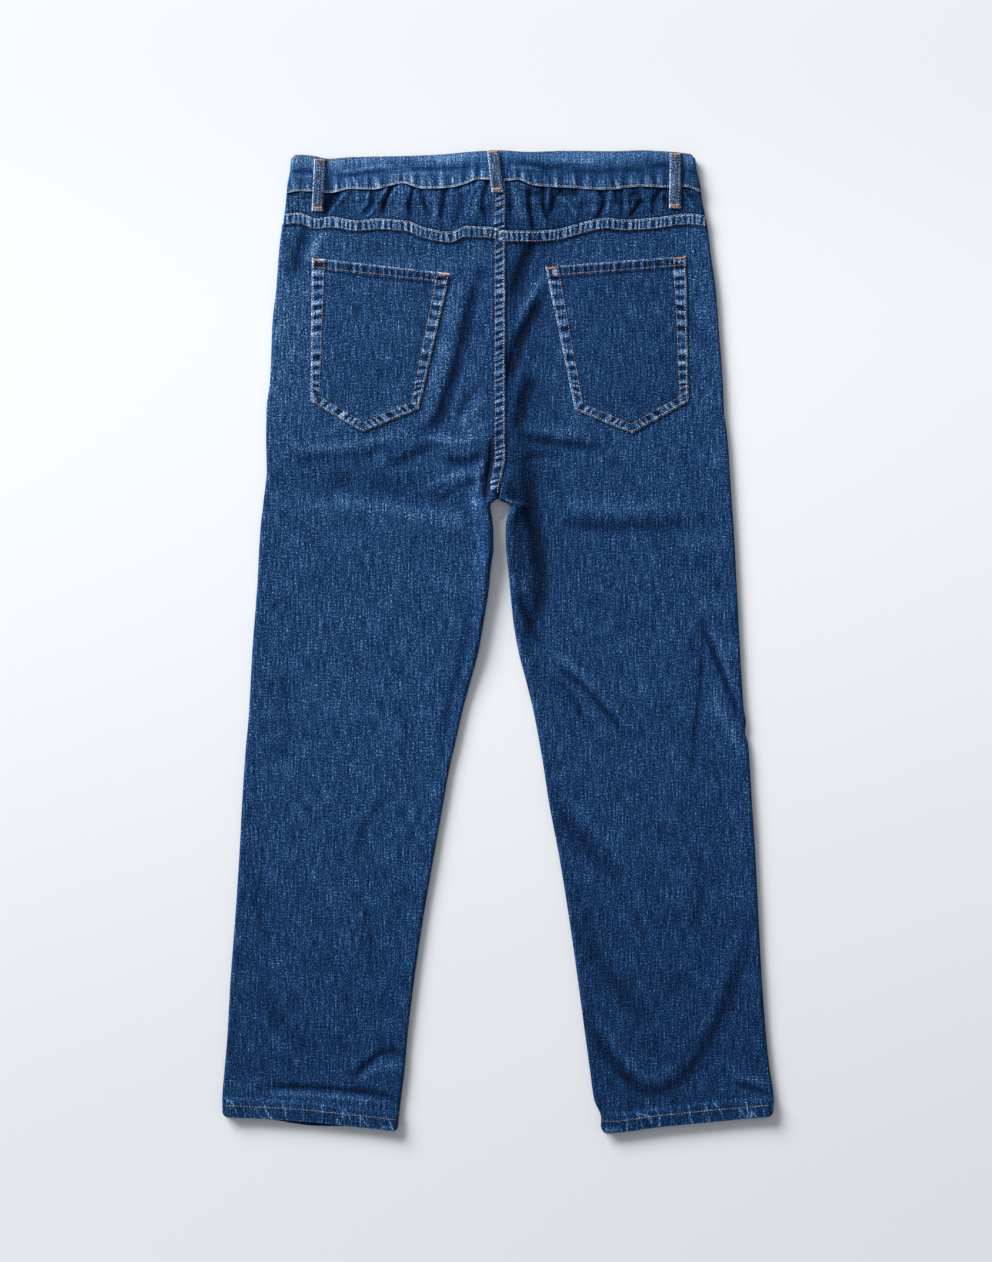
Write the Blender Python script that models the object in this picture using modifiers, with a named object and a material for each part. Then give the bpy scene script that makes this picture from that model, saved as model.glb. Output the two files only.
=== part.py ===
"""Slim stretch-denim jeans, laid flat on a surface with the back side up.

Frame: metres, +X to the right seen from above, +Y to the waist, +Z up, with the origin
under the middle of the garment's box, on the surface. Inside this script a place on the
garment is (x, drop) in millimetres: drop is measured down from the top of the waist.
The wearer's left is at -X.

The front pieces lie on the surface and the back pieces lie on the front ones. Each leg is a
flattened tube: both layers roll towards each other along the side seam and the inseam.
Every cloth piece is a wall lofted through rows that follow the tables below.
"""
import bisect
import math

import bmesh
import bpy

MM = 0.001

# Wall thicknesses and clearances, in millimetres
SEAM_GAP = 0.3
DENIM = 1.2
TURNED = 1.2          # what a turned hem adds to the wall
FELLED = 1.3          # what a felled (lapped, twice stitched) seam adds to the wall
BAND_BACK = 2.6
BAND_FRONT = 2.4
LOOP_WALL = 2.0

# Widths of the strips and rolls
FELL_WIDTH = 11.5
STEP = 1.5            # width of the slope at a strip's edge
HEM_DEPTH = 17.0
HEM_SLOPE = 5.0
ROLL = 3.2            # how far a layer turns in where it rolls down to a seam
FOLD_FADE = 7.0       # folds die out this near a side seam
GATHER_FADE = 9.0     # and gathers this near

# Places along the garment, as drops
MID_DROP = 518.2      # middle of the length, from 2.1 at the waist to 1034.3 at the hem
BAND_FOOT = 46.0      # drop of the band's seam at the sides
YOKE_SEAM = 78.0      # mean drop of the yoke seam
CROTCH = 369.0
TURN_START = 345.0    # from here to the crotch the seat seam turns into rolled inseams
TURN_LENGTH = 26.0
HEM = 1025.0          # mean drop of the hems
SEAM_FOLLOW = 92.0    # rows run with the yoke seam down to here, then straighten out
SEAM_STRAIGHT = 162.0
FRONT_STRAIGHT = 114.0
HEM_FOLLOW = 880.0    # rows bend to the hem's line from here to its stitches
HEM_FULL = 995.0

# Front band: its top dips at the centre front
WAIST_CORNER = 7.7
FRONT_DIP = 12.0
FRONT_HALF_WAIST = 212.0
BAND_HEIGHT = 38.0

# Closing: the band's left half laps outside the right one, and the button lies on it
LAP_HALF = 15.0
LAP_FADE = 14.0
LAP_COLUMNS = (38.0, 29.0, 21.0, 8.0, -LAP_HALF)   # distances from the centre, outermost first
LAP_CLEAR = 50.0      # the front band's even columns end here
BUTTON_RADIUS = 8.5
ZIP_HALF = 15.0
ZIP_LENGTH = 148.0
CHAIN_HALF = 3.0
SLIDER_LENGTH = 13.0
ZIP_TAPE = 0.8        # thickness of the tape
ZIP_CHAIN = 1.5       # thickness of the closed chain with its tape
ZIP_SLIDER = 2.2

# Belt loops
LOOP_HALF_WIDTH = 6.3
LOOP_SLACK = 0.5      # how far the middle of a back loop stands off
FRONT_LOOP_X = 95.0
FRONT_LOOP_LENGTH = 55.0


def table(names, *rows):
    """A small table: one list of numbers for each named column."""
    columns = names.split()
    return {name: [row[i] for row in rows] for i, name in enumerate(columns)}


SIDES = table(
    "drop left right",
    (7.7, -217.4, 206.9),
    (23, -218.5, 209.0),
    (39, -221.5, 212.5),
    (55, -222.8, 214.6),
    (70, -224.6, 217.6),
    (86, -227.6, 220.6),
    (118, -231.0, 224.6),
    (149, -233.2, 229.0),
    (181, -237.0, 231.4),
    (244, -239.6, 236.2),
    (275, -243.4, 237.6),
    (307, -243.8, 241.4),
    (338, -243.2, 243.6),
    (370, -246.4, 245.6),
    (401, -249.8, 247.8),
    (464, -253.4, 251.2),
    (527, -258.2, 254.4),
    (590, -261.6, 258.4),
    (604, -262.6, 260.6),
    (613, -263.4, 259.4),
    (624, -264.6, 262.6),
    (685, -268.8, 266.8),
    (748, -272.2, 270.8),
    (811, -276.4, 274.0),
    (874, -281.2, 277.4),
    (937, -284.8, 282.2),
    (968, -287.4, 285.6),
    (1000, -289.8, 289.8),
    (1020, -289.2, 288.6),
)

# The seat seam down to the crotch, then the inner edges of the legs
INNERS = table(
    "drop left right",
    (0, 7.6, 7.6),
    (322, 7.6, 7.6),
    (338, 5.8, 5.8),
    (357, 1.6, 1.6),
    (366, 0.0, 0.0),
    (371, -4.6, 5.0),
    (376, -8.0, 13.6),
    (381, -7.4, 12.4),
    (388, -6.2, 9.4),
    (401, -4.8, 7.8),
    (422, -4.6, 8.4),
    (433, -6.4, 9.6),
    (464, -9.6, 12.6),
    (496, -14.6, 15.8),
    (527, -20.0, 21.0),
    (559, -28.4, 29.2),
    (590, -36.8, 36.8),
    (622, -44.0, 43.0),
    (653, -51.2, 48.2),
    (685, -56.8, 53.0),
    (748, -68.0, 64.8),
    (811, -78.8, 74.8),
    (874, -88.0, 83.8),
    (937, -95.4, 92.2),
    (968, -98.0, 96.4),
    (1000, -102.0, 101.0),
    (1019, -104.2, 108.2),
    (1034, -105.6, 107.2),
)

WAIST_EDGE = table(
    "x drop",
    (-217.4, 7.7),
    (-194, 8.4),
    (-178, 11.0),
    (-155, 9.5),
    (-98, 8.4),
    (-63, 6.8),
    (-24, 3.7),
    (0, 2.5),
    (31, 4.2),
    (71, 2.6),
    (120, 3.2),
    (152, 2.1),
    (176, 3.2),
    (201, 6.1),
    (206.9, 7.7),
)

BAND_SEAM = table(
    "x drop",
    (-222, 47.9),
    (-210, 45.5),
    (-197, 45.5),
    (-175, 47.0),
    (-156, 43.1),
    (-130, 43.8),
    (-114, 39.9),
    (-100, 37.4),
    (-79, 43.1),
    (-50, 42.0),
    (-34, 38.2),
    (-21, 33.6),
    (10, 35.0),
    (21, 34.2),
    (37, 39.9),
    (72, 42.0),
    (113, 44.1),
    (152, 40.6),
    (176, 41.5),
    (197, 41.0),
    (214, 47.9),
)

YOKE_EDGE = table(
    "x drop",
    (-225, 69.3),
    (-210, 67.9),
    (-191, 73.5),
    (-175, 71.9),
    (-149, 76.0),
    (-127, 74.3),
    (-95, 76.7),
    (-79, 83.0),
    (-50, 88.0),
    (-34, 82.4),
    (-8, 83.4),
    (8, 87.0),
    (40, 87.2),
    (64, 84.8),
    (88, 78.4),
    (113, 73.5),
    (133, 75.2),
    (161, 73.5),
    (201, 68.8),
    (219, 71.2),
)

HEM_EDGE = table(
    "x drop",
    (-290, 1017.4),
    (-218, 1021.0),
    (-133, 1029.4),
    (-104, 1032.2),
    (107, 1030.6),
    (114, 1034.3),
    (170, 1028.0),
    (227, 1022.3),
    (290, 1016.7),
)

# How far the left front hem peeks out below the back one
FRONT_HEM_PEEK = table("x drop", (-246, 0.0), (-200, 4.4), (-147, 0.0))

# Gathers of the yokes: from x at the band to x at the yoke seam, ridges up, troughs down
GATHERS = table(
    "top bottom half height",
    (-158, -176, 10, 0.9),
    (-133, -146, 6, -0.9),
    (-118, -132, 6, 0.9),
    (-108, -119, 5, -1.0),
    (-101, -106, 6, 0.8),
    (-92, -92, 5, -1.2),
    (-76, -70, 8, 0.8),
    (-59, -59, 5, -1.1),
    (-48, -50, 6, 0.7),
    (-37, -43, 5, -0.9),
    (-24, -34, 7, 0.9),
    (-11, -13, 5, -0.7),
    (20, 24, 8, 0.8),
    (36, 38, 5, -1.1),
    (45, 46, 5, 0.7),
    (54, 54, 5, -1.0),
    (67, 63, 8, 0.8),
    (106, 104, 6, -1.1),
    (121, 119, 6, 0.8),
    (131, 132, 5, -1.0),
    (149, 138, 6, 0.9),
    (163, 162, 5, -0.8),
)

# Largest folds of the back: a trough or ridge along an arc, its half width and height
FOLDS = table(
    "x0 drop0 x1 drop1 bow half height",
    (-21, 128, -62, 288, -5, 13, -1.6),
    (43, 150, 22, 232, 3, 12, -1.5),
    (-64, 311, -10, 322, 4, 10, -1.4),
    (20, 294, 66, 315, 4, 10, -1.4),
    (-232, 361, -170, 372, 3, 11, -1.1),
    (-66, 336, -20, 352, 0, 12, 0.9),
    (24, 330, 70, 338, 0, 12, 0.9),
    (66, 506, 122, 596, 4, 13, -1.2),
    (38, 522, 92, 612, -3, 13, 0.9),
    (208, 482, 258, 608, -8, 14, -1.5),
    (222, 560, 262, 640, -6, 12, 0.9),
    (-240, 983, -104, 997, 4, 10, -1.4),
    (-94, 948, -158, 976, 3, 11, -1.0),
    (232, 990, 290, 994, 3, 10, -1.0),
    (-248, 560, -180, 600, 6, 18, 0.8),
    (-120, 640, -66, 700, 5, 16, -0.8),
    (-236, 760, -180, 850, 8, 20, 0.8),
    (110, 800, 160, 900, 6, 20, 0.8),
)

# Space left between the layers, along the middle of a panel and at its seams
SPACES = table(
    "drop middle edge",
    (0, 1.2, 2.6),
    (44, 1.3, 2.6),
    (62, 1.6, 3.2),
    (105, 2.3, 3.3),
    (150, 2.7, 3.4),
    (371, 2.6, 3.4),
    (600, 2.1, 3.4),
    (950, 2.1, 3.4),
    (1034, 2.6, 3.4),
)
EDGE_REACH = 16.0     # how far in from a seam the layers stand further apart
BAND_EDGE = 7.0       # width of the slope below the front band's lower edge

# Height of the side seams and inseams, above the hem's own rise
SEAM_LEVELS = table("drop height", (0, 3.8), (44, 3.8), (60, 3.2), (105, 2.9), (1034, 2.9))

# The front waist stands on its loops and button: its lift across, faded out below the loops
LIFTS = table(
    "x height",
    (-175, 0.0),
    (-115, 2.4),
    (-66, 2.4),
    (-30, 3.4),
    (30, 3.4),
    (66, 2.4),
    (115, 2.4),
    (175, 0.0),
)
LIFT_FULL = 74.0
LIFT_END = 114.0
HUMP = 2.0            # extra height of the back over the lapped band and the zip
HUMP_HALF = 62.0
HUMP_FADE = 40.0
HUMP_START = 50.0
HUMP_END = 116.0
WAIST_DROOP = 3.2     # how far the back's top edge sinks past the lower front edge
DROOP_START = 3.0     # height over the front's edge where it begins to sink
DROOP_REACH = 16.0

RIPPLE_HEIGHT = 0.4
RIPPLE_PITCH = 15.5
GATHER_TOP = 0.75     # share of a gather's height at the band, and at the yoke seam
GATHER_FOOT = 0.45

POCKETS = {
    "pocket_left": ((-195.3, 115.5), (-50.4, 131.8), (-83.0, 274.0), (-142.2, 298.2),
                    (-196.8, 266.2)),
    "pocket_right": ((197.4, 113.4), (49.8, 125.0), (80.9, 275.1), (140.3, 299.9),
                     (200.2, 266.2)),
}
POCKET_HEM = 11.5
POCKET_TURNED = 0.8
POCKET_SLACK = 0.12   # the pocket's rows don't meet the leg's, so it lies this much clearer

BACK_LOOPS = table(
    "side x_top drop_top x_end drop_end",
    (-1, -186.4, 11.6, -189.5, 66.4),
    (0, -5.1, 3.4, -0.5, 47.6),
    (1, 186.5, 5.6, 186.0, 63.4),
)

COLOURS = {
    "denim": (0.020, 0.055, 0.130),
    "denim_worn": (0.045, 0.095, 0.190),
    "brass": (0.45, 0.33, 0.17),
    "zip_tape": (0.015, 0.025, 0.060),
}


def smooth(keys, values, at):
    """Reads a column at a key, on a curve through the rows that doesn't overshoot them."""
    if at <= keys[0]:
        return values[0]
    if at >= keys[-1]:
        return values[-1]
    i = bisect.bisect_right(keys, at) - 1
    width = keys[i + 1] - keys[i]
    t = (at - keys[i]) / width
    start = width * t * (1 - t) * (1 - t) * slope_at(keys, values, i)
    end = width * t * t * (1 - t) * slope_at(keys, values, i + 1)
    return mix(values[i], values[i + 1], ease(t)) + start - end


def slope_at(keys, values, i):
    """Slope of the smooth curve at a row: the harmonic mean of its two neighbours' slopes."""
    last = len(keys) - 1
    before = (values[i] - values[i - 1]) / (keys[i] - keys[i - 1]) if i > 0 else None
    after = (values[i + 1] - values[i]) / (keys[i + 1] - keys[i]) if i < last else None
    if before is None or after is None:
        return after if before is None else before
    if before * after <= 0:
        return 0.0
    return 2 * before * after / (before + after)


def ease(t):
    """A soft step from 0 to 1 while t runs from 0 to 1."""
    t = min(max(t, 0.0), 1.0)
    return t * t * (3 - 2 * t)


def mix(a, b, t):
    return a + (b - a) * t


def side_x(side, drop):
    """Outer edge of the left (-1) or right (+1) half."""
    return smooth(SIDES["drop"], SIDES["left" if side < 0 else "right"], drop)


def inner_x(side, drop):
    """Inner edge of the back's left or right half: the seat seam, then the inseam."""
    edge = smooth(INNERS["drop"], INNERS["left" if side < 0 else "right"], drop)
    return edge + side * SEAM_GAP / 2


def front_inner_x(side, drop):
    """Inner edge of the front's left or right half: the centre front, then the inseam."""
    if drop <= CROTCH - 3:
        return side * SEAM_GAP / 2
    return inner_x(side, drop)


def inner_turn(drop):
    """0 where the inner edges lie flat against each other, 1 where they roll down below."""
    return ease((drop - TURN_START) / TURN_LENGTH)


def hem_turn(x, drop):
    """1 inside the turned hem, 0 above it."""
    above = smooth(HEM_EDGE["x"], HEM_EDGE["drop"], x) - drop
    return ease((HEM_DEPTH + HEM_SLOPE - above) / HEM_SLOPE)


def front_top_drop(x):
    """Upper edge of the front band."""
    return WAIST_CORNER + FRONT_DIP * (1 - (x / FRONT_HALF_WAIST) ** 2)


def front_seam_drop(x):
    """Lower edge of the front band."""
    return front_top_drop(x) + BAND_HEIGHT


def front_lift(x, drop):
    """How high the front's outer face stands above the surface."""
    fade = 1 - ease((drop - LIFT_FULL) / (LIFT_END - LIFT_FULL))
    return smooth(LIFTS["x"], LIFTS["height"], x) * fade


def seam_level(x, drop):
    """Height of the side seam or inseam: the back ends above it and the front below."""
    level = smooth(SEAM_LEVELS["drop"], SEAM_LEVELS["height"], drop)
    return level + TURNED * hem_turn(x, drop)


def fold_height(x, drop):
    """Sum of the folds at a place."""
    total = 0.0
    for x0, drop0, x1, drop1, bow, half, height in zip(*FOLDS.values()):
        length = math.hypot(x1 - x0, drop1 - drop0)
        along_x, along_drop = (x1 - x0) / length, (drop1 - drop0) / length
        along = (x - x0) * along_x + (drop - drop0) * along_drop
        t = along / length
        beside = (drop - drop0) * along_x - (x - x0) * along_drop
        beside -= bow * 4 * t * (1 - t)
        if abs(beside) < 2 * half and -0.2 < t < 1.2:
            ends = ease((t + 0.2) / 0.35) * ease((1.2 - t) / 0.35)
            total += height * ends * math.exp(-(beside / half) ** 2)
    return total


def back_floor(side, x, drop):
    """Height of the back's inner face where it lies over the front, without its folds."""
    in_band = 1 - ease((drop - front_seam_drop(x)) / BAND_EDGE)
    front = front_lift(x, drop) + mix(DENIM, BAND_FRONT, in_band) + TURNED * hem_turn(x, drop)
    middle = smooth(SPACES["drop"], SPACES["middle"], drop)
    edge = smooth(SPACES["drop"], SPACES["edge"], drop)
    near_side = math.exp(-((side_x(side, drop) - x) / EDGE_REACH) ** 2)
    near_inner = inner_turn(drop) * math.exp(-((inner_x(side, drop) - x) / EDGE_REACH) ** 2)
    fade = 1 - ease((drop - HUMP_START) / (HUMP_END - HUMP_START))
    hump = HUMP * ease((HUMP_HALF - abs(x)) / HUMP_FADE) * fade
    droop = WAIST_DROOP * ease((front_top_drop(x) - DROOP_START - drop) / DROOP_REACH)
    return front + mix(middle, edge, max(near_side, near_inner)) + hump - droop


def felled(side, x, drop, seam_drop):
    """What the felled yoke seam and seat seam add to the wall at a place."""
    below = drop - seam_drop
    on_yoke_seam = ease((FELL_WIDTH + STEP - below) / STEP) if below >= -0.01 else 0.0
    if side > 0:
        return FELLED * on_yoke_seam
    from_seam = inner_x(side, drop) - x
    on_seat_seam = ease((FELL_WIDTH + STEP - from_seam) / STEP) * (1 - inner_turn(drop))
    return FELLED * max(on_yoke_seam, on_seat_seam)


def gather_height(x, drop):
    """Sum of the gathers below the band, soft towards the yoke seam."""
    top = smooth(BAND_SEAM["x"], BAND_SEAM["drop"], x)
    bottom = smooth(YOKE_EDGE["x"], YOKE_EDGE["drop"], x)
    t = min(max((drop - top) / (bottom - top), 0.0), 1.0)
    total = 0.0
    for x_top, x_bottom, half, height in zip(*GATHERS.values()):
        centre = mix(x_top, x_bottom, t)
        total += height * math.exp(-((x - centre) / half) ** 2)
    return total * mix(GATHER_TOP, GATHER_FOOT, t)


def ripple(x, share):
    """Uneven ripples of the gathered band, from its middle (0) to its lower edge (1)."""
    wave = math.cos(2 * math.pi * x / RIPPLE_PITCH + 1.4 * math.sin(x / 27))
    return RIPPLE_HEIGHT * wave * share


# Columns of a panel, from its outer edge to its inner one. A rolled column has the angle
# that is left of its quarter turn; a flat one has 90 degrees.
OUTER_COLUMNS = table("flat angle", (0, 0), (0.6, 34), (1.9, 65), (ROLL, 90), (11, 90))
INNER_COLUMNS = table(
    "flat rolled angle",
    (FELL_WIDTH + STEP, 9.0, 90),
    (FELL_WIDTH, ROLL, 90),
    (7.6, 1.9, 65),
    (3.8, 0.6, 34),
    (0.0, 0.0, 0),
)


def panel_columns(spans):
    """Column descriptions across a panel: outer roll, even spans, inner strip or roll."""
    columns = [("outer", flat, flat, angle) for flat, angle in zip(*OUTER_COLUMNS.values())]
    columns += [("span", i / spans, 0, 90) for i in range(1, spans)]
    columns += [("inner", *row) for row in zip(*INNER_COLUMNS.values())]
    return columns


def column_x(side, column, drop, inner_edge):
    """x of a column at a drop."""
    kind, flat, rolled, _angle = column
    turn = inner_turn(drop)
    if kind == "outer":
        return side_x(side, drop) - side * flat
    if kind == "inner":
        return inner_edge(side, drop) + side * mix(flat, rolled, turn)
    start = side_x(side, drop) - side * OUTER_COLUMNS["flat"][-1]
    inset = mix(INNER_COLUMNS["flat"][0], INNER_COLUMNS["rolled"][0], turn)
    return mix(start, inner_edge(side, drop) + side * inset, flat)


def seam_x(side, column, drop, inner_edge):
    """Where a column reads a crosswise seam: seams run straight across the outer roll."""
    x = column_x(side, column, drop, inner_edge)
    if column[0] == "outer" and column[3] < 90:
        return side_x(side, drop) - side * ROLL
    return x


def polyline(points, x):
    """Drop of a seam at x, on straight runs between its points (x, drop)."""
    if x <= points[0][0]:
        return points[0][1]
    for (x0, drop0), (x1, drop1) in zip(points, points[1:]):
        if x <= x1:
            return mix(drop0, drop1, (x - x0) / (x1 - x0))
    return points[-1][1]


def seam_points(side, columns, curve, drop, inner_edge):
    """A seam's points where the columns of a panel meet it."""
    xs = sorted(column_x(side, column, drop, inner_edge) for column in columns)
    return [(x, smooth(curve["x"], curve["drop"], x)) for x in xs]


def wall_pair(side, column, x, drop, wall, face, edge, inner_edge):
    """Outer and inner point of a wall, as (x, drop, z).

    face is the height of the outer face where it is flat and edge the height that a rolled
    column turns to. The back's wall lies under its face, and the front's, which has a
    negative wall, lies over its face.
    """
    kind, _flat, _rolled, angle = column
    outer = (x, drop, face)
    inner = (x, drop, face - wall)
    if angle == 90:
        return outer, inner
    a = math.radians(angle)
    rise = face - edge
    if kind == "outer":
        seam = side_x(side, drop)
        towards = -side
    else:
        seam = inner_edge(side, drop)
        towards = side
    rolled_outer = (seam + towards * ROLL * (1 - math.cos(a)), drop, edge + rise * math.sin(a))
    rolled_inner = (seam + towards * (ROLL - (ROLL - abs(wall)) * math.cos(a)), drop,
                    edge + (rise - wall) * math.sin(a))
    turn = 1.0 if kind == "outer" else inner_turn(drop)
    blend_outer = tuple(mix(p, q, turn) for p, q in zip(outer, rolled_outer))
    blend_inner = tuple(mix(p, q, turn) for p, q in zip(inner, rolled_inner))
    return blend_outer, blend_inner


def tangent_x(side, column, x, drop, inner_edge):
    """Where the height of a rolled column is read: at the end of its roll."""
    kind, _flat, _rolled, angle = column
    if angle == 90:
        return x
    if kind == "outer":
        return side_x(side, drop) - side * ROLL
    return mix(x, inner_edge(side, drop) + side * ROLL, inner_turn(drop))


def to_metres(point):
    x, drop, z = point
    return (x * MM, (MID_DROP - drop) * MM, z * MM)


def make_material(name):
    material = bpy.data.materials.new(name)
    material.use_nodes = True
    shader = material.node_tree.nodes["Principled BSDF"]
    shader.inputs["Base Color"].default_value = (*COLOURS[name], 1.0)
    metal = name == "brass"
    shader.inputs["Metallic"].default_value = 1.0 if metal else 0.0
    shader.inputs["Roughness"].default_value = 0.35 if metal else 0.9
    return material


def add_mesh(name, points, faces, material, collection):
    """Makes one closed object from points in metres, with its faces turned outwards."""
    mesh = bpy.data.meshes.new(name)
    mesh.from_pydata(points, [], faces)
    shape = bmesh.new()
    shape.from_mesh(mesh)
    bmesh.ops.recalc_face_normals(shape, faces=shape.faces)
    if shape.calc_volume(signed=True) < 0:
        bmesh.ops.reverse_faces(shape, faces=shape.faces)
    shape.to_mesh(mesh)
    shape.free()
    mesh.materials.append(material)
    thing = bpy.data.objects.new(name, mesh)
    collection.objects.link(thing)
    return thing


def loft_wall(name, rows, material, collection):
    """Closes rows of (outer, inner) point pairs into one wall."""
    deep, wide = len(rows), len(rows[0])
    points = [to_metres(pair[0]) for row in rows for pair in row]
    points += [to_metres(pair[1]) for row in rows for pair in row]
    under = deep * wide
    faces = []
    for i in range(deep - 1):
        for j in range(wide - 1):
            a, b, c, d = i * wide + j, i * wide + j + 1, (i + 1) * wide + j + 1, (i + 1) * wide + j
            faces.append((a, b, c, d))
            faces.append((under + d, under + c, under + b, under + a))
    rim = [j for j in range(wide)]
    rim += [i * wide + wide - 1 for i in range(1, deep)]
    rim += [(deep - 1) * wide + j for j in range(wide - 2, -1, -1)]
    rim += [i * wide for i in range(deep - 2, 0, -1)]
    for a, b in zip(rim, rim[1:] + rim[:1]):
        faces.append((b, a, under + a, under + b))
    return add_mesh(name, points, faces, material, collection)


BACK_COLUMNS = panel_columns(11)
YOKE_COLUMNS = panel_columns(33)
FRONT_COLUMNS = panel_columns(6)

YOKE_SEAMS = {
    side: seam_points(side, BACK_COLUMNS, YOKE_EDGE, YOKE_SEAM, inner_x) for side in (-1, 1)
}
BAND_SEAMS = {
    side: seam_points(side, YOKE_COLUMNS, BAND_SEAM, BAND_FOOT, inner_x) for side in (-1, 1)
}
FRONT_SEAMS = {
    side: [(x, front_seam_drop(x)) for x in
           sorted(column_x(side, column, BAND_FOOT, front_inner_x) for column in FRONT_COLUMNS)]
    for side in (-1, 1)
}

HEM_ROWS = (HEM - HEM_DEPTH - HEM_SLOPE, HEM - HEM_DEPTH, HEM)
BACK_ROWS = (
    YOKE_SEAM + 0.15, YOKE_SEAM + FELL_WIDTH, YOKE_SEAM + FELL_WIDTH + STEP,
    108, 130, 152, 175, 198, 221, 244, 266, 284, 299, 312, 325, 338, 348, 357, 366,
    371, 376, 381, 388, 401, 422, 450, 480, 508, 536, 564, 590, 604, 613, 624, 650,
    690, 740, 795, 850, 900, 937, 962, 982, 993,
) + HEM_ROWS
FRONT_ROWS = (
    58.0, 74, 87, 101, 114, 205, 300, 338, 357, 366, 371, 376, 381, 388,
    401, 422, 480, 590, 613, 690, 795, 900, 962, 993,
) + HEM_ROWS


def top_share(drop, start, end):
    """1 at a panel's upper edge, 0 further down: how much a row follows that edge."""
    return 1 - ease((drop - start) / (end - start))


def hem_share(drop):
    """0 above the calf, 1 from the hem's stitches down: how much a row follows the hem."""
    return ease((drop - HEM_FOLLOW) / (HEM_FULL - HEM_FOLLOW))


def back_height(side, x, drop, seam_drop):
    """Outer face of a back leg and its wall there."""
    wall = DENIM + TURNED * hem_turn(x, drop) + felled(side, x, drop, seam_drop)
    edge_fade = 1 - math.exp(-((side_x(side, drop) - x) / FOLD_FADE) ** 2)
    return back_floor(side, x, drop) + fold_height(x, drop) * edge_fade + wall, wall


def back_leg(side, name, material, collection):
    """A back leg, from the yoke seam to the turned hem."""
    rows = []
    for base in BACK_ROWS:
        row = []
        for column in BACK_COLUMNS:
            x = column_x(side, column, base, inner_x)
            seam_drop = polyline(YOKE_SEAMS[side], seam_x(side, column, YOKE_SEAM, inner_x))
            drop = base + (seam_drop - YOKE_SEAM) * top_share(base, SEAM_FOLLOW, SEAM_STRAIGHT)
            drop += (smooth(HEM_EDGE["x"], HEM_EDGE["drop"], x) - HEM) * hem_share(base)
            if base > SEAM_FOLLOW:
                x = column_x(side, column, drop, inner_x)
            at = tangent_x(side, column, x, drop, inner_x)
            face, wall = back_height(side, at, drop, seam_drop)
            edge = seam_level(at, drop) + SEAM_GAP / 2
            row.append(wall_pair(side, column, x, drop, wall, face, edge, inner_x))
        rows.append(row)
    return loft_wall(name, rows, material, collection)


def yoke_height(side, x, drop):
    """Outer face of a yoke and its wall there."""
    wall = DENIM + felled(side, x, drop, HEM)
    edge_fade = 1 - math.exp(-((side_x(side, drop) - x) / GATHER_FADE) ** 2)
    return back_floor(side, x, drop) + gather_height(x, drop) * edge_fade + wall, wall


def yoke(side, name, material, collection):
    """A back yoke, gathered under the band; it tucks in at the felled yoke seam."""
    rows = []
    for t in (0.0, 0.25, 0.5, 0.75, 1.0):
        row = []
        for column in YOKE_COLUMNS:
            x = column_x(side, column, mix(BAND_FOOT, YOKE_SEAM, t), inner_x)
            top = polyline(BAND_SEAMS[side], seam_x(side, column, BAND_FOOT, inner_x)) + SEAM_GAP / 2
            bottom = polyline(YOKE_SEAMS[side], seam_x(side, column, YOKE_SEAM, inner_x))
            bottom -= SEAM_GAP / 2
            drop = mix(top, bottom, t)
            at = tangent_x(side, column, x, drop, inner_x)
            face, wall = yoke_height(side, at, drop)
            edge = seam_level(at, drop) + SEAM_GAP / 2
            row.append(wall_pair(side, column, x, drop, wall, face, edge, inner_x))
        rows.append(row)
    return loft_wall(name, rows, material, collection)


def band_height(side, x, drop, share):
    """Outer face of the back band: it stands proud of the yoke and ripples at its foot."""
    return back_floor(side, x, drop) + BAND_BACK + ripple(x, share)


def back_band(name, material, collection):
    """The elasticated back band, from side seam to side seam."""
    columns = [(-1, column) for column in YOKE_COLUMNS[:-1]]
    columns += [(1, column) for column in reversed(YOKE_COLUMNS)]
    rows = []
    for t in (0.0, 0.35, 0.75, 1.0):
        row = []
        for side, column in columns:
            x = column_x(side, column, mix(WAIST_CORNER, BAND_FOOT, t), inner_x)
            top = smooth(WAIST_EDGE["x"], WAIST_EDGE["drop"], x)
            bottom = polyline(BAND_SEAMS[side], seam_x(side, column, BAND_FOOT, inner_x))
            bottom -= SEAM_GAP / 2
            drop = mix(top, bottom, t)
            at = tangent_x(side, column, x, drop, inner_x)
            face = band_height(side, at, drop, ease((t - 0.3) / 0.6))
            edge = seam_level(at, drop) + SEAM_GAP / 2
            row.append(wall_pair(side, column, x, drop, BAND_BACK, face, edge, inner_x))
        rows.append(row)
    return loft_wall(name, rows, material, collection)


def front_leg(side, name, material, collection):
    """A front leg, flat on the surface, from the front band to the turned hem."""
    rows = []
    for base in FRONT_ROWS:
        row = []
        for column in FRONT_COLUMNS:
            x = column_x(side, column, BAND_FOOT if base == FRONT_ROWS[0] else base, front_inner_x)
            read = seam_x(side, column, BAND_FOOT, front_inner_x)
            seam_drop = polyline(FRONT_SEAMS[side], read) + SEAM_GAP / 2
            follow = top_share(base, FRONT_ROWS[0], FRONT_STRAIGHT)
            drop = base + (seam_drop - FRONT_ROWS[0]) * follow
            hem = smooth(HEM_EDGE["x"], HEM_EDGE["drop"], x)
            hem += smooth(FRONT_HEM_PEEK["x"], FRONT_HEM_PEEK["drop"], x)
            drop += (hem - HEM) * hem_share(base)
            if base > FRONT_ROWS[0]:
                x = column_x(side, column, drop, front_inner_x)
            wall = DENIM + TURNED * hem_turn(x, drop)
            at = tangent_x(side, column, x, drop, front_inner_x)
            edge = seam_level(at, drop) - SEAM_GAP / 2
            face = front_lift(x, drop)
            row.append(wall_pair(side, column, x, drop, -wall, face, edge, front_inner_x))
        rows.append(row)
    return loft_wall(name, rows, material, collection)


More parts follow.
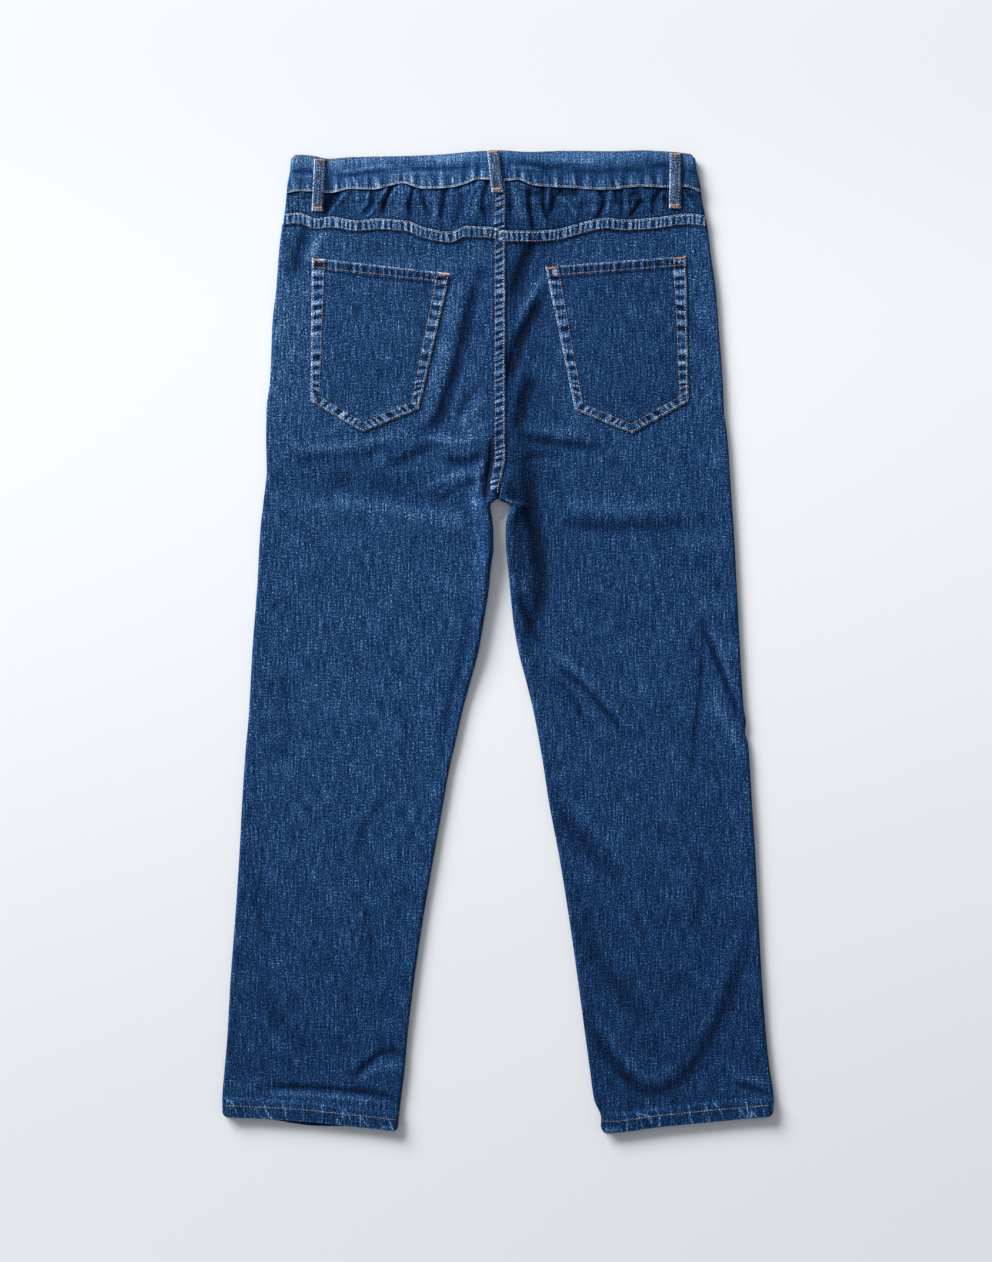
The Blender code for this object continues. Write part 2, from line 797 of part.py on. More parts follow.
def front_band(side, name, material, collection):
    """Half of the front band; the halves lap at the centre, the left one outermost."""
    rows = []
    for t in (0.0, 0.5, 1.0):
        row = []
        for column in FRONT_COLUMNS:
            x = column_x(side, column, BAND_FOOT, front_inner_x)
            if abs(x) > LAP_CLEAR:
                read = seam_x(side, column, BAND_FOOT, front_inner_x)
                row.append(front_band_pair(side, column, x, polyline(FRONT_SEAMS[side], read), t))
        for x in (side * distance for distance in LAP_COLUMNS):
            bottom = polyline(FRONT_SEAMS[side], x) if x * side > 0 else front_seam_drop(x)
            row.append(front_band_pair(side, ("span", 0, 0, 90), x, bottom, t))
        rows.append(row)
    return loft_wall(name, rows, material, collection)


def front_band_pair(side, column, x, bottom, t):
    """Outer and inner point of the front band, t of the way down to its seam."""
    drop = mix(front_top_drop(x), bottom - SEAM_GAP / 2, t)
    face = front_lift(x, drop)
    if side > 0:
        over = ease((LAP_HALF + LAP_FADE - x) / (LAP_FADE - 4))
        face += (BAND_FRONT + SEAM_GAP) * over
    at = tangent_x(side, column, x, drop, front_inner_x)
    edge = seam_level(at, drop) - SEAM_GAP / 2
    return wall_pair(side, column, x, drop, -BAND_FRONT, face, edge, front_inner_x)


def pocket(name, corners, material, collection):
    """A five-sided patch pocket on the points of its back leg, moved out."""
    side = -1 if name == "pocket_left" else 1
    outer_top, inner_top, inner_low, tip, outer_low = corners
    down, cells = 7, 10
    tip_share = 0.5
    rows = []
    length = outer_low[1] - outer_top[1]
    shares = [0.0, POCKET_HEM / length, (POCKET_HEM + STEP) / length]
    shares += [mix(shares[-1], 1.0, i / down) for i in range(1, down + 1)]
    for t in shares:
        row = []
        for j in range(cells + 1):
            u = j / cells
            top = tuple(mix(p, q, u) for p, q in zip(outer_top, inner_top))
            if u <= tip_share:
                low = tuple(mix(p, q, u / tip_share) for p, q in zip(outer_low, tip))
            else:
                past_tip = (u - tip_share) / (1 - tip_share)
                low = tuple(mix(p, q, past_tip) for p, q in zip(tip, inner_low))
            x, drop = (mix(p, q, t) for p, q in zip(top, low))
            floor = back_height(side, x, drop, YOKE_SEAM)[0] + SEAM_GAP + POCKET_SLACK
            wall = DENIM + POCKET_TURNED * ease((shares[2] - t) / (shares[2] - shares[1]))
            row.append(((x, drop, floor + wall), (x, drop, floor)))
        rows.append(row)
    return loft_wall(name, rows, material, collection)


def back_surface(x, drop):
    """Height of what a back belt loop lies on."""
    side = -1 if x < inner_x(-1, drop) else 1
    if drop < polyline(BAND_SEAMS[side], x) + 1:
        return band_height(side, x, drop, 1.0)
    if drop < polyline(YOKE_SEAMS[side], x) - 1:
        return yoke_height(side, x, drop)[0]
    return back_height(side, x, drop, polyline(YOKE_SEAMS[side], x))[0]


def back_loop(name, x_top, drop_top, x_end, drop_end, material, collection):
    """A belt loop: a folded strap over the band, stitched down at both ends."""
    rows = []
    steps = 8
    for i in range(steps + 1):
        t = i / steps
        x, drop = mix(x_top, x_end, t), mix(drop_top, drop_end, t)
        reach = LOOP_HALF_WIDTH + 4
        around = [
            back_surface(x + reach * u / 4, drop + 3.5 * v) for u in range(-4, 5) for v in (-1, 0, 1)
        ]
        floor = max(around) + SEAM_GAP + LOOP_SLACK * math.sin(math.pi * t)
        row = []
        for u, sink in ((-1, 0.35), (-0.8, 0.0), (0.8, 0.0), (1, 0.35)):
            x_here = x + LOOP_HALF_WIDTH * u
            row.append(((x_here, drop, floor + LOOP_WALL - sink), (x_here, drop, floor)))
        rows.append(row)
    return loft_wall(name, rows, material, collection)


def front_loop(side, name, material, collection):
    """A front belt loop: the surface presses it flat under the band."""
    x = side * FRONT_LOOP_X
    top = front_top_drop(x) + 1
    rows = []
    for drop in (top, top + FRONT_LOOP_LENGTH / 2, top + FRONT_LOOP_LENGTH):
        row = []
        for u in (-1, 1):
            x_here = x + LOOP_HALF_WIDTH * u
            row.append(((x_here, drop, 0.0), (x_here, drop, LOOP_WALL)))
        rows.append(row)
    return loft_wall(name, rows, material, collection)


def fly_zip(name, material, collection):
    """Zip tape with its closed chain and its slider at the top, behind the front opening."""
    start, end = FRONT_ROWS[0] + 1, FRONT_ROWS[0] + ZIP_LENGTH
    slider_end = start + SLIDER_LENGTH
    drops = [start, slider_end - 1, slider_end]
    drops += [row for row in FRONT_ROWS if slider_end + 1 < row < end]
    drops.append(end)
    across = (-ZIP_HALF, -CHAIN_HALF - 1, -CHAIN_HALF, CHAIN_HALF, CHAIN_HALF + 1, ZIP_HALF)
    rows = []
    for drop in drops:
        row = []
        for x in across:
            floor = front_lift(x, drop) + DENIM + SEAM_GAP + 0.05
            raised = abs(x) <= CHAIN_HALF
            wall = (ZIP_SLIDER if drop < slider_end else ZIP_CHAIN) if raised else ZIP_TAPE
            row.append(((x, drop, floor + wall), (x, drop, floor)))
        rows.append(row)
    return loft_wall(name, rows, material, collection)


def band_button(name, material, collection):
    """The shank button's cap under the front band, turned about its own axis."""
    profile = (
        (0.0, 3.0), (2.6, 3.0), (2.8, 2.5), (BUTTON_RADIUS - 0.6, 2.4), (BUTTON_RADIUS, 1.8),
        (BUTTON_RADIUS, 0.7), (BUTTON_RADIUS - 0.7, 0.0), (0.0, 0.0),
    )
    mesh = bpy.data.meshes.new(name)
    points = [(radius * MM, 0.0, z * MM) for radius, z in profile]
    mesh.from_pydata(points, [(i, i + 1) for i in range(len(points) - 1)], [])
    mesh.materials.append(material)
    button = bpy.data.objects.new(name, mesh)
    button.location = (0.0, (MID_DROP - front_top_drop(0.0) - BAND_HEIGHT / 2) * MM, 0.0)
    screw = button.modifiers.new("turn", "SCREW")
    screw.steps = 20
    screw.render_steps = 20
    screw.use_merge_vertices = True
    screw.merge_threshold = 0.00001
    collection.objects.link(button)
    return button


def build():
    """Makes every piece of the jeans."""
    for old in list(bpy.data.objects):
        bpy.data.objects.remove(old)
    jeans = bpy.data.collections.new("slim_jeans")
    bpy.context.scene.collection.children.link(jeans)
    denim = make_material("denim")
    worn = make_material("denim_worn")
    for side, word in ((-1, "left"), (1, "right")):
        back_leg(side, "back_" + word, denim, jeans)
        yoke(side, "yoke_" + word, denim, jeans)
        front_leg(side, "front_" + word, denim, jeans)
        front_band(side, "waistband_front_" + word, denim, jeans)
        pocket("pocket_" + word, POCKETS["pocket_" + word], denim, jeans)
        front_loop(side, "loop_front_" + word, worn, jeans)
    back_band("waistband_back", denim, jeans)
    words = {-1: "left", 0: "centre", 1: "right"}
    for side, *route in zip(*BACK_LOOPS.values()):
        back_loop("loop_back_" + words[side], *route, worn, jeans)
    fly_zip("fly_zip", make_material("zip_tape"), jeans)
    band_button("band_button", make_material("brass"), jeans)


build()
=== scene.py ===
# %% [markdown]
# # Slim denim jeans, laid flat with the back side up
#
# This lesson dresses the solid model of a pair of jeans. The solids already have the garment's
# true shape and size: here each one gets a fine cloth shell on the same form, with creases,
# stitches and worn denim. Sizes are in millimetres until a point is handed to Blender. A place
# on the garment is (x, drop), and drop is measured down from the top of the waist.

# %% Load the fixed frame
import math

import bmesh
import bpy
import numpy as np
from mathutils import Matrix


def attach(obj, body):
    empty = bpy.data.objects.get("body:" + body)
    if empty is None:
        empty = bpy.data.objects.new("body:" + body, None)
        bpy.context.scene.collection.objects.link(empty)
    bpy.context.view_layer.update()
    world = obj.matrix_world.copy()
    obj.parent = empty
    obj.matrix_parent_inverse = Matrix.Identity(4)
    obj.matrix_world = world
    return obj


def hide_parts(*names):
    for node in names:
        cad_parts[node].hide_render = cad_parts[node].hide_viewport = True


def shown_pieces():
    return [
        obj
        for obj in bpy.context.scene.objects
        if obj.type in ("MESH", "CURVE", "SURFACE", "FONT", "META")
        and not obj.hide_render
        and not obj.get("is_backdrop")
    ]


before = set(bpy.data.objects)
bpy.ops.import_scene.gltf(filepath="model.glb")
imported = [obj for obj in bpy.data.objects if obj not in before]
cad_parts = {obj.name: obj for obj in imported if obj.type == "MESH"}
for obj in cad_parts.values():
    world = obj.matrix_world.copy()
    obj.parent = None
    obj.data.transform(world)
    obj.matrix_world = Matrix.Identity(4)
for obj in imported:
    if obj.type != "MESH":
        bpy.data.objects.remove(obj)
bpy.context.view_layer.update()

# %% [markdown]
# ## The cut of the jeans
#
# A pattern cutter works from a few lines: the side edges, the seat seam and inseams, the
# waist, the seam under the band, the yoke seam and the hems. Each is a short table here, read
# as a smooth curve. They are the same lines that the solids follow, so the shells fit them.

# %% Sizes and lines of the cut, in millimetres
MM = 0.001
DENIM = 1.2           # wall of one layer of denim
TURNED = 1.2          # what a turned hem adds
FELLED = 1.3          # what a felled (lapped, twice stitched) seam adds
BAND_BACK = 2.6
BAND_FRONT = 2.4
LOOP_WALL = 2.0
FELL_WIDTH = 11.5
STEP = 1.5
ROLL = 3.2            # how far a layer turns in where it rolls down to a seam
HEM_DEPTH = 17.0
HEM_SLOPE = 5.0
MID_DROP = 518.2
WAIST_CORNER = 7.7
BAND_FOOT = 46.0
YOKE_SEAM = 78.0
CROTCH = 369.0
TURN_START = 345.0
TURN_LENGTH = 26.0
HEM = 1025.0
FRONT_DIP = 12.0
FRONT_HALF_WAIST = 212.0
BAND_HEIGHT = 38.0
LAP_HALF = 15.0
LAP_FADE = 14.0
LOOP_HALF_WIDTH = 6.3
POCKET_HEM = 11.5


def table(names, *rows):
    """A small table: one array of numbers for each named column."""
    return {name: np.array([row[i] for row in rows], float) for i, name in enumerate(names.split())}


SIDES = table(
    "drop left right",
    (7.7, -217.4, 206.9), (23, -218.5, 209.0), (39, -221.5, 212.5), (55, -222.8, 214.6),
    (70, -224.6, 217.6), (86, -227.6, 220.6), (118, -231.0, 224.6), (149, -233.2, 229.0),
    (181, -237.0, 231.4), (244, -239.6, 236.2), (275, -243.4, 237.6), (307, -243.8, 241.4),
    (338, -243.2, 243.6), (370, -246.4, 245.6), (401, -249.8, 247.8), (464, -253.4, 251.2),
    (527, -258.2, 254.4), (590, -261.6, 258.4), (604, -262.6, 260.6), (613, -263.4, 259.4),
    (624, -264.6, 262.6), (685, -268.8, 266.8), (748, -272.2, 270.8), (811, -276.4, 274.0),
    (874, -281.2, 277.4), (937, -284.8, 282.2), (968, -287.4, 285.6), (1000, -289.8, 289.8),
    (1020, -289.2, 288.6),
)
INNERS = table(
    "drop left right",
    (0, 7.6, 7.6), (322, 7.6, 7.6), (338, 5.8, 5.8), (357, 1.6, 1.6), (368, 0.0, 0.0),
    (371, -5.0, 4.2), (375, -7.8, 13.0), (377, -8.0, 13.4), (381, -7.4, 12.4),
    (388, -6.2, 9.4), (401, -4.8, 7.8), (422, -4.6, 8.4), (433, -6.4, 9.6),
    (464, -9.6, 12.6), (496, -14.6, 15.8),
    (527, -20.0, 21.0), (559, -28.4, 29.2), (590, -36.8, 36.8), (622, -44.0, 43.0),
    (653, -51.2, 48.2), (685, -56.8, 53.0), (748, -68.0, 64.8), (811, -78.8, 74.8),
    (874, -88.0, 83.8), (937, -95.4, 92.2), (968, -98.0, 96.4), (1000, -102.0, 101.0),
    (1019, -104.2, 108.2), (1034, -105.6, 107.2),
)
WAIST_EDGE = table(
    "x drop",
    (-217.4, 8.2), (-209, 6.9), (-194, 8.0), (-178, 11.0), (-155, 9.5), (-98, 8.4),
    (-63, 6.8), (-24, 3.7),
    (0, 2.5), (31, 4.2), (71, 2.6), (120, 3.2), (152, 2.1), (176, 3.2), (201, 6.1),
    (206.9, 7.7),
)
BAND_SEAM = table(
    "x drop",
    (-222, 47.9), (-210, 45.5), (-197, 45.5), (-175, 47.0), (-156, 43.1), (-130, 43.8),
    (-114, 39.9), (-100, 37.4), (-79, 43.1), (-50, 42.0), (-34, 38.2), (-21, 33.6), (10, 35.0),
    (21, 34.2), (37, 39.9), (72, 42.0), (113, 44.1), (152, 40.6), (176, 41.5), (197, 41.0),
    (214, 47.9),
)
YOKE_EDGE = table(
    "x drop",
    (-225, 69.3), (-210, 67.9), (-191, 73.5), (-175, 71.9), (-149, 76.0), (-127, 74.3),
    (-95, 76.7), (-79, 83.0), (-50, 88.0), (-34, 82.4), (-8, 83.4), (8, 87.0), (40, 87.2),
    (64, 84.8), (88, 78.4), (113, 73.5), (133, 75.2), (161, 73.5), (201, 68.8), (219, 71.2),
)
HEM_EDGE = table(
    "x drop",
    (-290, 1017.4), (-218, 1021.0), (-133, 1029.4), (-104, 1032.2), (107, 1030.6),
    (114, 1034.3), (170, 1028.0), (227, 1022.3), (290, 1016.7),
)
FRONT_HEM_PEEK = table("x drop", (-246, 0.0), (-200, 4.4), (-147, 0.0))
# corners of the pockets: outer top, inner top, inner low, tip, outer low
POCKETS = {
    "pocket_left": np.array([(-195.3, 115.5), (-50.4, 131.8), (-83.0, 274.0), (-142.2, 298.2),
                             (-196.8, 266.2)]),
    "pocket_right": np.array([(197.4, 113.4), (49.8, 125.0), (80.9, 275.1), (140.3, 299.9),
                              (200.2, 266.2)]),
}
# top and end of the back belt loops
BACK_LOOPS = {
    "loop_back_left": np.array([(-186.4, 11.6), (-189.5, 66.4)]),
    "loop_back_centre": np.array([(-5.1, 3.4), (-0.5, 47.6)]),
    "loop_back_right": np.array([(186.5, 5.6), (186.0, 63.4)]),
}

# %% Curves through the tables, for whole arrays of places at once


def ease(t):
    """A soft step from 0 to 1 while t runs from 0 to 1."""
    t = np.clip(t, 0.0, 1.0)
    return t * t * (3 - 2 * t)


def mix(a, b, t):
    return a + (b - a) * t


def bell(away, half):
    """1 at a line, fading over a few half widths on both sides of it."""
    return np.exp(-(away / half) ** 2)


def unit(vectors):
    return vectors / np.linalg.norm(vectors, axis=-1, keepdims=True)


def smooth(keys, values, at):
    """A curve through the rows that doesn't overshoot them, read at an array of keys."""
    at = np.clip(at, keys[0], keys[-1])
    widths = np.diff(keys)
    rises = np.diff(values) / widths
    slopes = np.empty(len(keys))
    slopes[0], slopes[-1] = rises[0], rises[-1]
    before, after = rises[:-1], rises[1:]
    total = np.where(before * after > 0, before + after, 1.0)
    slopes[1:-1] = np.where(before * after > 0, 2 * before * after / total, 0.0)
    i = np.clip(np.searchsorted(keys, at, side="right") - 1, 0, len(keys) - 2)
    t = (at - keys[i]) / widths[i]
    start = widths[i] * t * (1 - t) ** 2 * slopes[i]
    end = widths[i] * t * t * (1 - t) * slopes[i + 1]
    return mix(values[i], values[i + 1], ease(t)) + start - end


def line(curve, x):
    """Drop of a crosswise line, such as a hem, at x."""
    return smooth(curve["x"], curve["drop"], x)


def side_x(side, drop):
    return smooth(SIDES["drop"], SIDES["left" if side < 0 else "right"], drop)


def inner_x(side, drop):
    """The seat seam down to the crotch, then the inseam."""
    return smooth(INNERS["drop"], INNERS["left" if side < 0 else "right"], drop) + side * 0.1


def front_inner_x(side, drop):
    """The centre front down to the crotch, then the inseam."""
    return np.where(drop <= CROTCH - 3, side * 0.1, inner_x(side, drop))


def inner_turn(drop):
    """0 where the inner edges lie flat against each other, 1 where they roll down below."""
    return ease((drop - TURN_START) / TURN_LENGTH)


def hem_turn(x, drop):
    above = line(HEM_EDGE, x) - drop
    return ease((HEM_DEPTH + HEM_SLOPE - above) / HEM_SLOPE)


# %% [markdown]
# ## How the cloth lies
#
# Laid flat, jeans are two layers that meet in a soft roll at the side seams and inseams. The
# height of the top layer comes from what lies under it: the front, the lapped band, the
# space that springy denim keeps between its layers. On that lie the creases. On real cloth
# they are never even, so each is drawn: a half width, a height (ridges up, troughs
# down) and a few points along it.

# %% Heights of the layers
SPACES = table(
    "drop middle edge",
    (0, 1.2, 2.6), (44, 1.3, 2.6), (62, 1.6, 3.2), (105, 2.3, 3.3), (150, 2.7, 3.4),
    (371, 2.6, 3.4), (600, 2.1, 3.4), (950, 2.1, 3.4), (1034, 2.6, 3.4),
)
SEAM_LEVELS = table("drop height", (0, 3.8), (44, 3.8), (60, 3.2), (105, 2.9), (1034, 2.9))
LIFTS = table(
    "x height",
    (-175, 0.0), (-115, 2.4), (-66, 2.4), (-30, 3.4), (30, 3.4), (66, 2.4), (115, 2.4),
    (175, 0.0),
)
EDGE_REACH = 16.0


def front_top_drop(x):
    return WAIST_CORNER + FRONT_DIP * (1 - (x / FRONT_HALF_WAIST) ** 2)


def front_seam_drop(x):
    return front_top_drop(x) + BAND_HEIGHT


def front_lift(x, drop):
    """How high the front stands above the surface, on its loops and button."""
    return smooth(LIFTS["x"], LIFTS["height"], x) * (1 - ease((drop - 74) / 40))


def seam_level(x, drop):
    return smooth(SEAM_LEVELS["drop"], SEAM_LEVELS["height"], drop) + TURNED * hem_turn(x, drop)


def back_floor(side, x, drop):
    """Height of the back's inner face, without creases."""
    in_band = 1 - ease((drop - front_seam_drop(x)) / 7)
    front = front_lift(x, drop) + mix(DENIM, BAND_FRONT, in_band) + TURNED * hem_turn(x, drop)
    near_side = bell(side_x(side, drop) - x, EDGE_REACH)
    near_inner = inner_turn(drop) * bell(inner_x(side, drop) - x, EDGE_REACH)
    middle = smooth(SPACES["drop"], SPACES["middle"], drop)
    edge = smooth(SPACES["drop"], SPACES["edge"], drop)
    hump = 2.0 * ease((62 - abs(x)) / 40) * (1 - ease((drop - 50) / 66))
    droop = 3.2 * ease((front_top_drop(x) - 3 - drop) / 16)
    return front + mix(middle, edge, np.maximum(near_side, near_inner)) + hump - droop


# %% Creases, drawn one by one


def drawn(rows):
    """Creases from a table: half width, height, then x and drop of each point in turn.

    A row of words is a heading.
    """
    creases = []
    for row in rows.strip().splitlines():
        if not row.strip()[0].isalpha():
            half, height, *places = map(float, row.split())
            creases.append((half, height, list(zip(places[::2], places[1::2]))))
    return creases


LEG_CREASES = drawn("""
    seat, beside the pockets and the seat seam
    5.5 -2.2  -20 134  -29 170  -39 215  -51 255  -62 284  -80 300
    6.0 0.4  -42 150  -60 225  -80 300
    6.5 -2.1  39 94  26 126  14 160
    5.5 1.0  50 132  34 160  19 195
    6.0 -2.1  49 152  31 185  17 218  11 244
    6.0 -1.7  39 240  28 263  20 300
    under the seat
    4.5 -1.2  18 301  44 307  76 312  114 315
    6.0 0.5  26 292  60 298  96 303
    5.0 -1.3  -64 311  -90 323  -114 335
    4.5 -1.4  -12 320  -34 329  -58 327
    4.5 0.9  -8 301  -44 308  -78 303
    4.0 0.7  -20 340  -50 346  -88 362
    3.5 -0.7  -12 346  -40 356  -66 374
    thighs
    7.0 -0.6  -100 312  -160 324  -226 328
    5.0 0.6  -96 300  -150 312  -220 317
    13.0 -0.6  -222 350  -150 350  -90 360  -40 368
    7.0 0.5  -224 376  -150 374  -80 384  -30 390
    7.5 -0.8  62 392  112 398  160 397  218 394
    7.0 0.5  60 374  110 378  200 376
    inner legs and the crotch
    7.5 -2.0  30 318  34 372  41 418  45 462  34 512
    5.0 0.5  19 388  24 430  30 480
    5.0 -0.8  -24 470  -34 520  -50 580  -62 640
    4.0 -0.8  20 330  44 322  70 324
    2.2 -2.8  -7 304  -8 326  -12 350  -14 376
    3.0 0.8  -16 318  -20 344  -24 372  -26 400
    3.0 0.7  4 366  14 372  18 384
    4.0 -0.7  -18 246  -32 264  -44 287
    3.5 0.6  -14 262  -27 278  -38 297
    3.5 0.6  -10 286  -24 296  -40 299
    right knee and its side
    3.6 -1.2  66 548  90 566  112 590  134 618
    3.2 -1.0  60 556  76 574  92 604
    4.5 0.5  52 528  74 540  98 562  122 590
    3.4 -0.8  20 466  32 496  50 528
    2.6 -0.9  216 500  213 560  208 610  203 668
    3.0 -1.3  214 500  228 534  243 570  259 612
    4.5 0.5  224 502  240 540  254 584
    4.0 0.6  222 560  238 600  256 640
    3.0 -0.5  222 636  232 668  236 700
    right shin and calf
    8.5 -0.7  62 694  88 728  124 766
    6.0 0.3  80 690  110 724  140 752
    7.0 -0.7  84 816  112 862  146 904  166 902
    4.5 -0.5  166 902  182 888  196 870
    above the right hem
    6.0 -1.1  94 914  122 962  158 991  192 979  223 937  249 874  271 812
    5.0 0.4  104 908  130 950  160 976  188 962
    5.0 0.3  206 940  232 882  254 822
    4.0 -0.5  212 738  213 780  209 830
    3.0 -1.0  252 984  268 988  288 994
    3.6 0.7  246 976  268 979  289 983
    above the left hem
    2.8 -1.5  -254 986  -215 986  -180 988  -130 993  -103 1000
    3.2 0.8  -250 994  -200 995  -150 999  -112 1004
    3.4 -1.4  -155 978  -136 961  -119 950  -98 949
    4.0 0.8  -146 980  -128 968  -104 962
    left leg
    6.0 -0.5  -252 880  -230 916  -190 952
    4.5 -0.5  -114 676  -139 710  -146 750
    4.5 -0.4  -140 792  -133 840  -134 892
    4.0 -0.4  -94 770  -104 796  -112 824
    5.0 -0.4  -250 760  -252 790  -249 820
    6.0 -0.4  -226 540  -222 590  -226 640
    5.0 -0.4  -100 588  -94 616  -98 650
    hips
    5.5 -1.1  -201 82  -209 106  -216 140
    5.5 0.8  -181 84  -191 102  -200 124
    6.0 -0.5  196 176  212 196  228 214
""")
YOKE_CREASES = drawn("""
    2.0 0.8  -206 48  -213 52  -215 59  -220 67
    5.0 -1.2  -171 47  -177 58  -181 69
    2.1 1.2  -156 45  -161 50  -167 57  -173 64  -178 71
    3.0 0.5  -149 44  -147 51  -149 58
    2.2 0.8  -136 46  -137 53  -139 59  -145 67
    3.0 -1.0  -133 45  -131 56  -135 63  -142 70
    1.9 1.2  -117 44  -125 56  -131 66  -136 72
    2.2 -1.7  -113 44  -117 54  -120 62  -122 70
    1.7 0.9  -104 42  -110 48  -114 56
    7.0 0.7  -100 44  -102 58  -104 74
    2.1 -1.6  -88 41  -91 51  -93 62  -92 74
    3.2 0.8  -86 46  -84 54  -80 66
    2.5 -0.9  -81 47  -76 62  -71 73
    4.0 0.8  -73 46  -67 56  -66 70  -68 82
    2.2 -1.6  -56 46  -58 60  -60 76
    3.0 0.4  -49 47  -50 60  -52 72
    1.8 0.7  -38 47  -33 43  -27 41
    2.6 -0.9  -39 50  -40 62  -42 72  -46 82
    1.9 1.2  -20 38  -26 47  -30 56  -33 70
    5.0 0.6  -18 44  -23 58  -27 76
    2.5 -1.4  -11 36  -14 46  -16 58  -13 76
    1.8 -0.8  12 38  13 60  13 86
    7.0 0.7  18 44  23 60  28 80
    1.7 1.0  14 37  24 40  35 45
    2.4 -1.7  33 48  33 62  35 75  37 86
    2.0 -0.9  34 50  40 49  46 46
    3.4 0.9  38 54  42 62  46 72  50 82
    2.0 -1.3  47 43  48 54  49 64  53 77
    2.4 0.8  53 44  53 52  52 60
    2.3 -1.4  66 44  59 54  57 63  52 72
    2.0 -0.9  57 42  57 50  58 57
    2.6 -0.8  68 48  76 49  85 47
    1.7 0.9  66 54  75 59  80 66  82 74
    2.5 0.5  87 44  87 50  84 56
    6.0 0.6  98 46  101 58  98 70
    2.1 -1.5  105 43  110 51  111 59  108 67  102 75
    3.0 0.8  119 45  118 58  114 71
    2.0 -1.3  122 43  124 50  126 58
    2.0 -0.9  129 48  131 60  130 71
    2.5 0.8  133 44  135 54  133 68
    2.4 -1.6  150 56  147 60  143 66  138 73
    3.0 -0.9  140 50  145 48  151 49
    1.8 0.9  151 45  156 54  160 62
    2.0 -1.1  164 52  163 62  163 71
    2.2 -1.4  172 42  168 48  165 54
    1.9 0.7  174 46  172 54  173 64
    2.0 -1.1  175 44  177 55  180 64
    1.7 1.1  196 47  201 56  206 67
    3.0 -0.8  202 50  209 58  216 68
""")


def through(points, steps=7):
    """A smooth path through given points, as a Catmull-Rom curve."""
    points = np.array(points, float)
    padded = np.vstack([2 * points[0] - points[1], points, 2 * points[-1] - points[-2]])
    path = []
    for a, b, c, d in zip(padded, padded[1:], padded[2:], padded[3:]):
        for t in np.arange(steps) / steps:
            path.append(0.5 * (2 * b + (c - a) * t + (2 * a - 5 * b + 4 * c - d) * t * t
                               + (3 * b - a - 3 * c + d) * t ** 3))
    path.append(points[-1])
    return np.array(path)


def crease(x, drop, half, points, fade=0.22):
    """1 on the middle of a crease, fading to its sides and to its ends."""
    path = through(points)
    shape = np.zeros_like(x)
    near = ((x > path[:, 0].min() - 3 * half) & (x < path[:, 0].max() + 3 * half)
            & (drop > path[:, 1].min() - 3 * half) & (drop < path[:, 1].max() + 3 * half))
    px, py = x[near], drop[near]
    best = np.full(px.shape, 1e9)
    place = np.zeros(px.shape)
    for i, (start, end) in enumerate(zip(path, path[1:])):
        run = end - start
        t = np.clip(((px - start[0]) * run[0] + (py - start[1]) * run[1]) / (run @ run), 0, 1)
        away = (px - start[0] - t * run[0]) ** 2 + (py - start[1] - t * run[1]) ** 2
        closer = away < best
        best = np.where(closer, away, best)
        place = np.where(closer, (i + t) / (len(path) - 1), place)
    ends = ease(place / fade) * ease((1 - place) / fade)
    shape[near] = np.exp(-best / half ** 2) * mix(0.25, 1.0, ends)
    return shape


def crease_height(x, drop, creases):
    return sum(height * crease(x, drop, half, points) for half, height, points in creases)


def gather_height(x, drop):
    """The gathers of the yokes: the band's seam holds them, so they start above it."""
    total = np.zeros_like(x)
    for half, height, points in YOKE_CREASES:
        start, second = np.array(points[0], float), np.array(points[1], float)
        points = [start + (start - second) * 0.4, *points]
        total += height * crease(x, drop, half * 0.9, points, 0.10)
    return total


print("creases on the legs:", len(LEG_CREASES), "on the yokes:", len(YOKE_CREASES))

# %% [markdown]
# ## Making a panel
#
# A panel could be cloth-simulated, but these folds are known from the picture. So each panel
# starts as a flat grid, made by an operator, and its points are moved to their places on the
# garment. Columns are close together in the rolls at the edges and rows at the seams. A
# Solidify modifier gives the wall and puts a second finish inside: the paler reverse of the
# denim, or on the legs a darker turned denim with painted shade. Each point also keeps how far
# it is from the seams, which the denim's shader uses for wear and for painted shade beside
# raised seams.

# %% Columns and rows of a panel
ROLL_ANGLES = (0, 18, 36, 54, 72, 90)


def roll_in(angle):
    return ROLL * (1 - math.cos(math.radians(angle)))


def panel_columns(spans):
    """(kind, flat, rolled, angle) of each column, from the outer edge to the inner one."""
    columns = [("outer", roll_in(a), roll_in(a), a) for a in ROLL_ANGLES]
    columns += [("outer", inset, inset, 90) for inset in (5, 7, 9, 11)]
    columns += [("span", i / spans, 0, 90) for i in range(1, spans)]
    columns += [("inner", flat, flat * 0.7, 90) for flat in (13, 12.2, 11.5, 10.4, 8.5, 6.6, 4.8)]
    columns += [("inner", 3.9 * a / 90, roll_in(a), a) for a in reversed(ROLL_ANGLES)]
    return columns


def spread(*stops):
    """Rows between stops (place, step up to it): evenly spaced runs without doubles."""
    rows = [stops[0][0]]
    for (start, _), (end, step) in zip(stops, stops[1:]):
        count = max(1, round((end - start) / step))
        rows += [start + (end - start) * (i + 1) / count for i in range(count)]
    return np.array(rows)


LEG_COLUMNS = panel_columns(84)
YOKE_COLUMNS = panel_columns(128)
FRONT_COLUMNS = panel_columns(44)
LEG_ROWS = spread((YOKE_SEAM + 0.1, 0), (YOKE_SEAM + 1.1, 0.5), (YOKE_SEAM + 10.5, 2.0),
                  (YOKE_SEAM + 13.5, 0.75), (362, 2.6), (382, 1.25), (1002, 2.8), (1008, 1.0),
                  (1023, 2.2), (HEM, 0.5))
FRONT_ROWS = spread((58, 0), (360, 5.0), (382, 2.0), (1002, 6.0), (1008, 2.0), (HEM, 3.0))


